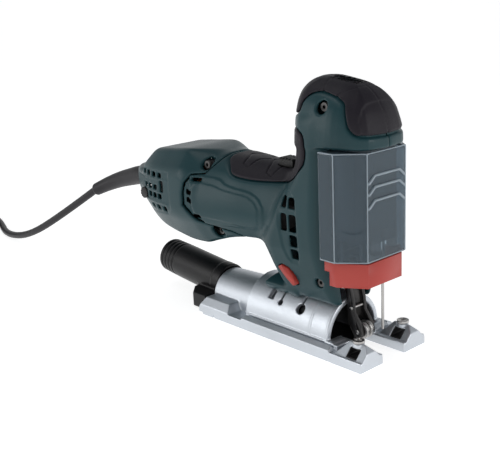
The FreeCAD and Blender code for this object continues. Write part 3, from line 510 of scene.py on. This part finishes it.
def barrel(g, sections):
    """The motor housing: eight flats round an axis along x, with a slanted upper rear end."""
    x, low, top, half = zip(*sections)
    low, top, half = curve(x, low, g.x), curve(x, top, g.x), curve(x, half, g.x)
    size = (top - low) / 80
    neck = np.clip((g.x + 170) / 26, 0, 1)
    neck = neck * neck * (3 - 2 * neck)
    up = np.maximum(g.z - top, low - g.z)
    side = np.abs(g.y) - half
    shoulder = side * 0.79 + (g.z - top) * 0.614 + 11.0 * size + 5.5 * neck
    keel = side * 0.852 + (low - g.z) * 0.524 + 13.6 * size
    wall = meet(meet(meet(up, side, 2), shoulder, 3.5 + 9 * neck), keel, 3.5)
    rear = join(0.60 * (g.z - 130.5) - 0.80 * (g.x + 213), g.z - 108.5, 3)
    wall = meet(wall, rear, 3)
    return meet(wall, np.abs(g.x - (x[0] + x[-1]) / 2) - (x[-1] - x[0]) / 2, 4)


def saddle(g):
    """The curved foot of the tower, which rides on the drum."""
    ring = bar(g, "x", (0, TILT_Z), SADDLE_R, -93, -58, 3)
    slope = math.radians(38)
    wedge = np.abs(g.y) * math.cos(slope) - (g.z - TILT_Z) * math.sin(slope)
    profile = [(-93, 10), (-93, 36), (-88, 44), (-80, 50), (-50, 50), (-50, 10)]
    nose = outline(soften(profile), g.x, g.z)
    return meet(meet(ring, wedge, 2), nose, 2)


def body_field(g):
    """The whole outside of the housing, before it is parted into pieces."""
    blend = 4 + 14 * np.clip((np.abs(g.z - 101) - 14) / 14, 0, 1)
    whole = join(join(column(g, TOWER), head(g), 5), barrel(g, MOTOR), blend)
    whole = join(whole, saddle(g), 4)
    return cut(whole, bar(g, "x", (0, TILT_Z), DRUM_R + SADDLE_GAP), 0.8)


def side_slots(g, side):
    """Air slots in two columns low on the tower, as one field of boxes."""
    y = sorted((24 * side, 40 * side))
    return nearest(
        block(g, x, y, z, 1.2) for x, count in TOWER_COLUMNS for z in TOWER_ROWS[:count])


def cover_slots(g, side):
    """Four rows of small air slots in the rear cover, and one tall slot."""
    y = sorted((24 * side, 48 * side))
    half_x, half_z = COVER_SLOT_HALF
    spans = [((-195.2, -190.6), (96.2, 105.6), 0.8)]
    for z, first, pitch, count in COVER_ROWS:
        for x in [first + pitch * i for i in range(count)]:
            spans.append(((x - half_x, x + half_x), (z - half_z, z + half_z), 0.6))
    return nearest(block(g, x, y, z, radius) for x, z, radius in spans)


def housing_pieces():
    """The two shell halves and the rear cover."""
    g = Grid((-265, -42.5, 31), (16, 42.5, 198), 0.9)
    body = body_field(g)
    cover_zone = outline(REAR_COVER, g.x, g.z)
    neck_zone = outline(soften(NECK_GRIP, 2), g.x, g.z)
    cap_zone = outline(soften(CAP_GRIP, 2), g.x, g.z)
    grips = np.minimum(neck_zone, cap_zone)
    hollow = body + WALL

    # the shell between the grips, with its raised belt and label, its catch and its openings
    shell = cut(body, grips - SEAM, 1.6)
    shell = join(shell, body + 1.9, 0.5)
    wide = np.clip((np.abs(g.y) - 22) / 4, 0, 1)
    belt = outline(soften(BELT, 1), g.x, g.z)
    label = outline(soften(LABEL, 1), g.x, g.z)
    shell = shell - (0.55 * step_up(belt, 1.0) + 0.45 * step_up(label, 0.9)) * wide
    shell = shell + 1.9 * step_up(outline(CATCH, g.x, g.z), 2.2) * wide
    recess = outline(soften(TOWER_RECESS, 1), g.x, g.z)
    shell = shell + 0.9 * step_up(recess, 1.4) * wide
    shell = shell + 0.5 * dent(np.abs(g.y), 1.6) * np.clip((g.z - 60) / 10, 0, 1)
    for (x, z), r in zip(SHELL_SCREWS, (3.6, 4.5)):
        shell = cut(shell, bar(g, "y", (x, z), r, -60, 60), 1.2)
    for x, z in CATCH_SLOTS:
        for side in (-1, 1):
            y = sorted((24 * side, 48 * side))
            shell = cut(shell, block(g, x, y, z, 0.6), 0.8)
    openings = [
        block(g, (-27, -10), (-20, 20), (84.7, 149.6)), block(g, (-40, 5), (-14.5, 14.5), (20, 85)),
        block(g, (-10, 6.7), (-9.3, 9.3), (140, 154)), block(g, *SWITCH_ROOM),
        bar(g, "z", (TILT_X, 0), 2.6, 30, 46), bar(g, "y", (-62, 60), 4.5, 20, 60),
    ]
    for opening in openings:
        shell = cut(shell, opening, 0.6)
    button = outline(BUTTON, g.x, g.z) - 0.5
    shell = cut(shell, meet(button, g.y + 20, 0.5), 0.8)
    for side, name in ((-1, "right"), (1, "left")):
        half = cut(shell, side_slots(g, side), 0.8)
        half = meet(half, 0.06 - side * g.y, 0.3)
        half = meet(half, SEAM - cover_zone, 1.2)
        piece = skin("shell_" + name, g, cut(half, hollow, 0.5))
        finish_piece(piece, "housing", "teal_shell", "housing_" + name)

    # the cover behind it, with its intake grille
    cover = meet(body - 0.15, cover_zone + SEAM, 1.6)
    cover = cover + 0.7 * step_up(outline(INTAKE, g.x, g.z), 1.2) * wide
    ribs = nearest(line(rib, g.x, g.z) for rib in INTAKE_RIBS)
    cover = cover - 0.6 * dent(ribs, 2.4) * wide
    for side in (-1, 1):
        cover = cut(cover, cover_slots(g, side), 0.7)
        for (x, z), r, deep in zip(COVER_SCREWS, (4.6, 5.6), (17.5, 22)):
            y = sorted((deep * side, 60 * side))
            cover = cut(cover, bar(g, "y", (x, z), r, *y, 1), 1.0)
    dial = bar(g, "y", DIAL[:2], DIAL[2] + 0.5, -60, -22, 0.5)
    inlet = bar(g, "x", (0, 95), 9.2, -270, -250, 0.5)
    for hole in (dial, inlet):
        cover = cut(cover, hole, 1.0)
    piece = skin("motor_cover", g, cut(cover, hollow, 0.5))
    finish_piece(piece, "housing", "teal_shell", "rear_cover")


def grip_piece(name, node, low, high, zone_points, grooves):
    """A soft pad that fills its zone of the housing's outside."""
    g = Grid(low, high, 0.65)
    body = body_field(g)
    zone = outline(soften(zone_points, 2), g.x, g.z)
    pad = meet(body - 0.35, zone + SEAM, 2.2)
    pad = pad + grooves(g)
    for x, z in SHELL_SCREWS:
        pad = cut(pad, bar(g, "y", (x, z), 4.5, -60, 60), 0.8)
    pad = cut(pad, block(g, *SWITCH_ROOM), 1.0)
    pad = cut(pad, body + 1.7, 0.4)
    finish_piece(skin(name, g, pad), "housing", "soft_grip", node)


def neck_grooves(g):
    """Two looped grooves over the top of the neck, one behind the other."""
    paths = []
    for shift in (0, 24.5):
        for side in (-1, 1):
            paths.append([
                (-122 + shift, 0), (-116.5 + shift, 8.5 * side), (-113.5 + shift, 16.5 * side),
                (-107 + shift, 17.5 * side), (-106 + shift, 6.5 * side), (-99 + shift, 0)])
    lines = nearest(line(path, g.x, g.y) for path in paths)
    return 0.7 * dent(lines, 2.0) * np.clip((g.z - 112) / 5, 0, 1)


def cap_grooves(g):
    """The cap's centre seam, its two creases, and the panel let into its front."""
    y = np.abs(g.y)
    seam = line([(-33, 0), (24, 0)], g.x, g.y)
    creases = np.minimum(
        line([(-26, 23), (-29.5, 14), (-32, 6), (-32.5, 0)], g.x, y),
        line([(-15, 20), (-12, 16), (-7.5, 10), (-6.5, 0)], g.x, y))
    panel = outline([
        (0, 150), (22.5, 150), (22.3, 168), (20.6, 172.4), (17.9, 176.8), (13, 180), (6, 181),
        (0, 181.2), (-9, 181), (-9, 150)], y, g.z)
    front = np.clip((g.x + 4) / 4, 0, 1)
    above = np.clip((g.z - 176) / 4, 0, 1)
    lines = 0.5 * dent(seam, 1.3) + 0.45 * dent(creases, 1.8) * above
    return lines + 0.6 * step_up(panel, 2.0) * front


# ---- base ----
# the plate's raised decks: x range, height at the edge, half width and height of the top
DECKS = [(-154, -120, 8.4, 30.5, 14.0), (-104.5, -13.5, 8.7, 29.5, 11.4)]
DRUM_RIBS = (-39.0, -22.6)
# x and radius of the two key-shaped holes in the drum's right side
KEYHOLES = [(-73, 2.2), (-52, 4.0)]
# the dust pipe's foot as (x, z), and its outside and inside radii
PIPE_FOOT = (-156.5, 17.5)
PIPE_R = 15.0
PIPE_BORE = 12.6
PIPE_GROOVES = (60, 64.5, 69, 73.5)
PIPE_PLUG = [
    (-181, -18.5), (-181, 18.5), (-170, 29.5), (-154.3, 29.5), (-154.3, -29.5), (-170, -29.5),
]


def slope_plane(a, b, start, end):
    """Distance past the sloping line from start to end, in the plane of a and b."""
    (a0, b0), (a1, b1) = start, end
    length = math.hypot(a1 - a0, b1 - b0)
    return ((a - a0) * (b1 - b0) - (b - b0) * (a1 - a0)) / length


def toe(g, side):
    """One of the two raised toes, with the collar for its bar screw."""
    y = g.y * side
    planes = [
        slope_plane(g.x, g.z, (BASE_X[1], 11.8), (11.4, TOE_TOP)),
        slope_plane(-g.x, g.z, (10, 7), (2.2, TOE_TOP)),
        slope_plane(y, g.z, (BASE_HALF, 5.3), (29.5, 11.5)),
        slope_plane(-y, g.z, (-12.0, 4.8), (-19.5, 12.2)),
    ]
    across = sorted((side * GAP_HALF, side * BASE_HALF))
    shape = block(g, (-11, BASE_X[1]), across, (0, TOE_TOP), 0.4)
    for plane in planes:
        shape = meet(shape, plane, 0.5)
    collar = bar(g, "z", (WINDOW_X, side * SCREW_Y), 4.2, 10, TOE_TOP + 0.4, 0.5)
    return join(shape, collar, 0.8)


def base_field(g):
    """The cast base: plate, drum, tail and toes, with the hollows and holes in them."""
    plan = outline([
        (BASE_X[0], -29), (BASE_X[0] + 3, -BASE_HALF), (BASE_X[1], -BASE_HALF),
        (BASE_X[1], BASE_HALF), (BASE_X[0] + 3, BASE_HALF), (BASE_X[0], 29)], g.x, g.y)
    base = meet(plan, np.abs(g.z - 3.7) - 3.7, 0.6)
    half = BASE_HALF
    for x0, x1, edge, inner, top in DECKS:
        raised = outline([
            (-half, 2), (-half, edge), (-inner, top), (inner, top), (half, edge), (half, 2),
        ], g.y, g.z)
        ends = np.abs(g.x - (x0 + x1) / 2) - (x1 - x0) / 2 + 0.55 * (g.z - edge)
        base = join(base, meet(raised, ends, 0.7), 0.4)
    shelves = np.minimum(
        block(g, (-112, -14), (28.8, 30.6), (8.2, 20), 0.3),
        block(g, (-112, -14), (-30.6, -28.8), (8.2, 20), 0.3))
    base = cut(base, shelves, 0.4)
    base = join(base, bar(g, "x", (0, TILT_Z), DRUM_R, *DRUM_X, 1.2), 1.5)
    for x in DRUM_RIBS:
        base = join(base, bar(g, "x", (0, TILT_Z), DRUM_R + 0.25, x - 0.9, x + 0.9, 0.6), 0.5)
    rear_r = np.interp(g.x, [-155, -111, -106], [20, 21.5, DRUM_R]).astype(np.float32)
    tail = meet(np.sqrt(g.y**2 + (g.z - TILT_Z) ** 2) - rear_r, np.abs(g.x + 130) - 24, 0.8)
    base = join(base, tail, 1.5)
    hollow = bar(g, "x", (0, TILT_Z), DRUM_HOLE, -112, -18, 0.8)
    hollow = meet(hollow, g.x - 40, 0.5)
    duct = bar(g, "x", (0, DUCT_Z), 12.5, -170, -100, 0.8)
    trench = block(g, (-108, DRUM_X[1] + 1), (-24, 24), (-5, 11), 0.5)
    for tool in (hollow, duct, trench):
        base = cut(base, tool, 0.8)
    for side in (-1, 1):
        y = sorted((side * GAP_HALF, side * 29))
        base = join(base, block(g, (DRUM_X[1] - 2, -11), y, (0, 10.6), 0.5), 0.8)
        base = join(base, toe(g, side), 0.8)
    base = cut(base, block(g, (-30, 40), (-GAP_HALF, GAP_HALF), (-5, 14), 0.3), 0.8)
    base = cut(base, block(g, (-21, -10.9), (-15, 15), (10.2, 14.5), 0.3), 0.6)
    window = (WINDOW_X - WINDOW_HALF, WINDOW_X + WINDOW_HALF)
    for side in (-1, 1):
        y = sorted((side * 10, side * 40))
        base = cut(base, block(g, window, y, WINDOW_Z, 0.3), 0.4)
        base = cut(base, bar(g, "z", (WINDOW_X, side * SCREW_Y), 2.6, 8, 30), 0.6)
    angle = math.radians(36)
    out = (g.z - TILT_Z) * math.sin(angle) - g.y * math.cos(angle)
    across = (g.z - TILT_Z) * math.cos(angle) + g.y * math.sin(angle)
    for x, r in KEYHOLES:
        hole = np.sqrt((g.x - x) ** 2 + across**2) - r
        key = line([(0, 0), (0, 9.5)], g.x - x, across) - 0.9
        base = cut(base, meet(np.minimum(hole, key), -out, 0.5), 0.5)
    tilt = math.radians(53)
    spread = np.abs(g.y) * math.cos(tilt) - (g.z - TILT_Z) * math.sin(tilt)
    base = cut(base, meet(np.abs(g.x - TILT_X) - 2.8, spread, 0.3), 0.5)
    base = cut(base, block(g, (-138.6, -136.4), (-40, -BASE_HALF + 1.4), (-3, 2.2), 0.2), 0.4)
    return meet(base, -g.z, 0.5)


def base_piece():
    g = Grid((-155.5, -37, -1.2), (17.5, 37, 39.5), 0.55)
    finish_piece(skin("cast_base", g, base_field(g)), "base", "cast_aluminium", "base_plate")


def duct_lining_and_shade():
    """The black dust channel inside the drum's front, seen round the roller fork, which is also
    painted shade: it hides the lit floor that shows inside the drum.
    """
    g = Grid((-78, -25, -1), (-22, 25, 35), 0.8)
    ring = np.sqrt(g.y**2 + (g.z - TILT_Z) ** 2) - DRUM_HOLE + 0.9
    channel = meet(ring, np.abs(g.z - 20) - 18.6, 1.0)
    walls = meet(np.abs(channel) - 0.55, np.abs(g.x + 50) - 26.5, 0.4)
    finish_piece(skin("duct_lining_and_shade", g, walls), "base", "black_plastic")


def window_shade_lining(side, name):
    """Dark walls inside a toe's bar window: painted shade for the window's inner walls, which lie
    in shadow.
    """
    y0, y1 = sorted((side * 14, side * 34))
    g = Grid((WINDOW_X - 5.5, y0, 6), (WINDOW_X + 5.5, y1, 15), 0.35)
    x0, x1 = WINDOW_X - WINDOW_HALF, WINDOW_X + WINDOW_HALF
    z0, z1 = WINDOW_Z
    walls = outline([(x0, z0), (x1, z0), (x1, z1), (x0, z1)], g.x, g.z)
    walls = np.abs(walls + 0.3) - 0.4
    y = g.y * side
    walls = meet(walls, slope_plane(y, g.z, (35.0, 5.3), (29.0, 11.5)), 0.1)
    walls = meet(walls, slope_plane(-y, g.z, (-12.5, 4.8), (-20.0, 12.2)), 0.1)
    finish_piece(skin(name, g, walls), "base", "dark_steel")


def dust_pipe_piece():
    """The dust pipe, with the plug that holds it in the base's tail and the spigot inside it."""
    g = Grid((-236, -31, 0), (-137, 31, 43), 0.65)
    slope = math.radians(6)
    dx, dz = g.x - PIPE_FOOT[0], g.z - PIPE_FOOT[1]
    along = -dx * math.cos(slope) + dz * math.sin(slope)
    across = dx * math.sin(slope) + dz * math.cos(slope)
    r = np.sqrt(across**2 + g.y**2)
    outer = PIPE_R - 0.4 * np.clip((along - 60) / 18, 0, 1) + 0.4 * (along < 8)
    pipe = meet(r - outer, np.abs(along - 38) - 40, 1.6)
    pipe = meet(pipe, g.x + 154.3, 0.5)
    for s in PIPE_GROOVES:
        pipe = pipe + 0.75 * dent(np.abs(along - s), 2.6)
    plug = meet(outline(PIPE_PLUG, g.x, g.y), np.abs(g.z - 7.2) - 6, 1.0)
    spigot = bar(g, "x", (0, DUCT_Z), 12.2, -160, -140.6, 0.8)
    whole = join(join(pipe, plug, 2.5), spigot, 0.5)
    bore = meet(r - PIPE_BORE, -(along + 2), 0.3)
    whole = cut(whole, bore, 0.8)
    whole = cut(whole, bar(g, "x", (0, DUCT_Z), 10.6, -159, -120), 0.5)
    finish_piece(skin("dust_tube", g, whole), "base", "black_plastic", "dust_pipe")


def guard_pieces():
    """The smoked guard, and the mouldings on it, which are coloured lighter as a painted highlight:
    three ridges that turn down at their ends, the upper and lower rims, and the corners."""
    g = Grid((-23, -35.5, 72), (13.5, 35.5, 150), 0.5)
    plan = outline(GUARD, g.x, g.y)
    outer = meet(plan, np.abs(g.z - GUARD_MIDDLE) - 37.6, 1.4)
    inner = outline([(-30 if x < -20 else x, y) for x, y in GUARD], g.x, g.y) + GUARD_WALL
    guard = cut(outer, meet(inner, g.z - 147.0, 1.2), 0.5)
    guard = cut(guard, block(g, *GUARD_NOTCH, 0.4), 0.4)
    guard = cut(guard, block(g, (-30, -20.6), (-40, 40), (60, 160), 0.1), 0.3)
    side = np.abs(g.y)
    oval = np.sqrt(((side - 26.0) / 4.6) ** 2 + ((g.z - 98.5) / 4.2) ** 2) * 4.2 - 4.2
    guard = cut(guard, meet(oval, -0.6 - plan, 0.2), 0.3)
    finish_piece(skin("smoked_guard", g, guard), "guard", "clear_guard", "clear_guard")

    edges = np.full(g.shape, 9.0, np.float32)
    for z in GUARD_RIDGES:
        ridge = line([(0, z), (12.8, z), (18.6, z - 4.6)], side, g.z)
        edges = np.minimum(edges, np.sqrt(ridge**2 + (g.x - 10.4) ** 2) - 1.0)
    for z in GUARD_RIMS:
        edges = np.minimum(edges, np.sqrt((plan + 0.2) ** 2 + (g.z - z) ** 2) - 0.55)
    for x, y in GUARD:
        corner = np.sqrt((g.x - x) ** 2 + (g.y - y) ** 2) - 0.55
        edges = np.minimum(edges, np.maximum(corner, np.abs(g.z - GUARD_MIDDLE) - 37))
    edges = cut(edges, block(g, *GUARD_NOTCH, 0.4), 0.3)
    edges = meet(edges, -20.9 - g.x, 0.2)
    # the ridges, rims and corners in the lighter look: painted highlight
    finish_piece(skin("guard_highlight_mouldings", g, edges), "guard", "clear_guard", look="guard_painted_highlight")


# ---- cord and strain relief ----
def cord_points():
    """The lead's path in metres: down to the floor, round the coil and up into the plug."""
    points = [Vector(p) * MM for p in ROUTE]
    cx, cy = COIL_CENTRE
    per_turn = 16
    for turn, (radius, height) in enumerate(COIL_TURNS):
        last = turn + 1 == len(COIL_TURNS)
        next_r, next_z = COIL_TURNS[min(turn + 1, len(COIL_TURNS) - 1)]
        for i in range(1, 7 if last else per_turn + 1):
            share = max(0, i - per_turn + 3) / 3 if not last else 0
            r = radius + (next_r - radius) * share
            z = height + (next_z - height) * share
            a = math.radians(90 + 360 * i / per_turn)
            points.append(Vector((cx + r * math.cos(a), cy + r * math.sin(a), z)) * MM)
    tail = Vector(PLUG_TAIL) * MM
    points.append(tail + Vector((-0.012, 0.003, -0.003)))
    points.append(tail + Vector((0.004, 0, 0)))
    return points


def lead_piece():
    """The mains lead as a soft cord, from the strain relief to the plug."""
    points = cord_points()
    curve_data = bpy.data.curves.new("mains_lead", "CURVE")
    curve_data.dimensions = "3D"
    curve_data.bevel_depth = CORD_D / 2 * MM
    curve_data.bevel_resolution = 5
    curve_data.use_fill_caps = True
    spline = curve_data.splines.new("NURBS")
    spline.points.add(len(points) - 1)
    for control, p in zip(spline.points, points):
        control.co = (*p, 1)
    spline.order_u = 3
    spline.use_endpoint_u = True
    spline.resolution_u = 6
    lead = new_object("mains_lead", curve_data)
    finish_piece(lead, "housing", "lead_rubber", "cord_lead", "cord_coil")


def swept(name, places, radii, rings=28):
    """A round sleeve through places, with a radius at each."""
    verts, faces = [], []
    for i, p in enumerate(places):
        ahead = places[min(i + 1, len(places) - 1)] - places[max(i - 1, 0)]
        turn = ahead.to_track_quat("Z", "Y")
        for k in range(rings):
            a = 2 * math.pi * k / rings
            verts.append((p + turn @ Vector((math.cos(a), math.sin(a), 0)) * radii[i]) * MM)
    for i in range(len(places) - 1):
        for k in range(rings):
            n = (k + 1) % rings
            faces.append((i * rings + k, i * rings + n, (i + 1) * rings + n, (i + 1) * rings + k))
    faces.append(tuple(range(rings))[::-1])
    faces.append(tuple(range((len(places) - 1) * rings, len(places) * rings)))
    return mesh_object(name, verts, faces)


def strain_relief_piece():
    """The tapered sleeve round the lead, drawn in at its tip."""
    stations = [
        ((-258, 0, 95), 8.5), ((-272, 0, 93.6), 8.5), ((-288, -0.8, 89.8), 8.0),
        ((-303, -2.6, 85.6), 7.4), ((-319, -6.6, 79.6), 6.6), ((-332.6, -12.2, 73.1), 5.8)]
    s = np.arange(len(stations), dtype=float)
    at = np.linspace(0, len(stations) - 1, 90)
    columns = [curve(s, [p[0][i] for p in stations], at) for i in range(3)]
    radii = curve(s, [p[1] for p in stations], at)
    places = [Vector(p) for p in zip(*columns)]
    radii[-1] -= 0.9
    radii[-2] -= 0.3
    finish_piece(
        swept("lead_sleeve", places, radii), "housing", "lead_rubber", "strain_relief")


# CAD nodes that only have their edges rounded, with the width of the bevel
BEVELS = {
    "release_lever": 0.7, "blower_slider": 1.1, "speed_dial": 0.3, "switch_slider": 0.6,
    "pendulum_knob": 0.8, "roller_fork": 0.4, "guide_roller": 0.4, "fork_cross_pin": 0.25,
    "roller_axle": 0.3, "bar_screw_right": 0.35, "bar_screw_left": 0.35, "blade_clamp": 0.3,
    "clamp_sleeve": 0.25, "lever_pin": 0.4, "gear_case": 0.5,
}

housing_pieces()
grip_piece("neck_pad", "grip_neck", (-138, -38, 108), (-34, 38, 165), NECK_GRIP, neck_grooves)
grip_piece("cap_pad", "grip_cap", (-64, -36, 153), (16, 36, 199), CAP_GRIP, cap_grooves)
base_piece()
# black lining in the drum: the dust channel, and painted shade over the floor seen inside it
duct_lining_and_shade()
# dark linings in the toes' bar windows: painted shade
window_shade_lining(-1, "window_shade_lining_right")
window_shade_lining(1, "window_shade_lining_left")
dust_pipe_piece()
guard_pieces()
lead_piece()
strain_relief_piece()
for bevel_node, bevel_width in BEVELS.items():
    bevelled(bevel_node, bevel_width)


# ---- floor, light and camera, in metres ----
FLOOR_HALF = 80.0
# azimuth, elevation and roll of the view in degrees, and the lens in mm
CAMERA_ANGLES = (47.98, 15.74, -2.58)
CAMERA_PLACE = (0.3695, -0.4485, 0.2605)
CAMERA_LENS = 62.78


def area_light(name, place, aim, size, power):
    data = bpy.data.lights.new(name, "AREA")
    data.shape, data.energy = "RECTANGLE", power
    data.size, data.size_y = size
    lamp = new_object(name, data)
    lamp.location = place
    lamp.rotation_euler = (Vector(aim) - Vector(place)).to_track_quat("-Z", "Y").to_euler()


def floor_and_light():
    """A lit white floor out to the horizon, a sky that is dimmer overhead, and soft boxes."""
    signs = [(-1, -1), (1, -1), (1, 1), (-1, 1)]
    corners = [(x * FLOOR_HALF, y * FLOOR_HALF, 0) for x, y in signs]
    floor = mesh_object("floor", corners, [(0, 1, 2, 3)])
    paint = material(
        "floor_paint", (0.6, 0.6, 0.6), 0.8, spread=0.004, patch=2, grain=(40, 0.02, 0.0001),
        rough_spread=0.02, Specular_IOR_Level=0.1, Emission_Color=(1, 1, 1, 1),
        Emission_Strength=0.78)
    floor.data.materials.append(paint)
    world = bpy.data.worlds.new("studio")
    bpy.context.scene.world = world
    world.use_nodes = True
    tree = world.node_tree
    place = tree.nodes.new("ShaderNodeTexCoord")
    split = tree.nodes.new("ShaderNodeSeparateXYZ")
    ramp = tree.nodes.new("ShaderNodeValToRGB")
    level, overhead = ramp.color_ramp.elements
    level.position, level.color = 0.05, (1, 1, 1, 1)
    overhead.position, overhead.color = 0.7, (0.22, 0.235, 0.25, 1)
    back = tree.nodes["Background"]
    tree.links.new(place.outputs["Generated"], split.inputs["Vector"])
    tree.links.new(split.outputs["Z"], ramp.inputs["Fac"])
    tree.links.new(ramp.outputs["Color"], back.inputs["Color"])
    back.inputs["Strength"].default_value = 0.95
    target = (-0.1, 0, 0.09)
    area_light("softbox_top", (-0.35, -0.25, 1.1), target, (0.7, 0.5), 1.5)
    area_light("softbox_left", (-0.9, -1.1, 0.5), target, (0.5, 0.7), 3)
    area_light("softbox_right", (1.1, 0.3, 0.5), target, (0.4, 0.7), 3)


def photo_camera():
    """The camera that sees the part as the photograph does."""
    az, el, roll = (math.radians(a) for a in CAMERA_ANGLES)
    ahead = Vector((-math.sin(az) * math.cos(el), math.cos(az) * math.cos(el), -math.sin(el)))
    level = Vector((math.cos(az), math.sin(az), 0))
    above = level.cross(ahead)
    right = level * math.cos(roll) + above * math.sin(roll)
    up = above * math.cos(roll) - level * math.sin(roll)
    data = bpy.data.cameras.new("camera")
    data.sensor_fit, data.sensor_width, data.lens = "HORIZONTAL", 36.0, CAMERA_LENS
    camera = new_object("camera", data)
    turn = Matrix((right, up, -ahead)).transposed().to_4x4()
    camera.matrix_world = Matrix.Translation(CAMERA_PLACE) @ turn
    bpy.context.scene.camera = camera
    bpy.context.scene.view_settings.view_transform = "Standard"


floor_and_light()
photo_camera()
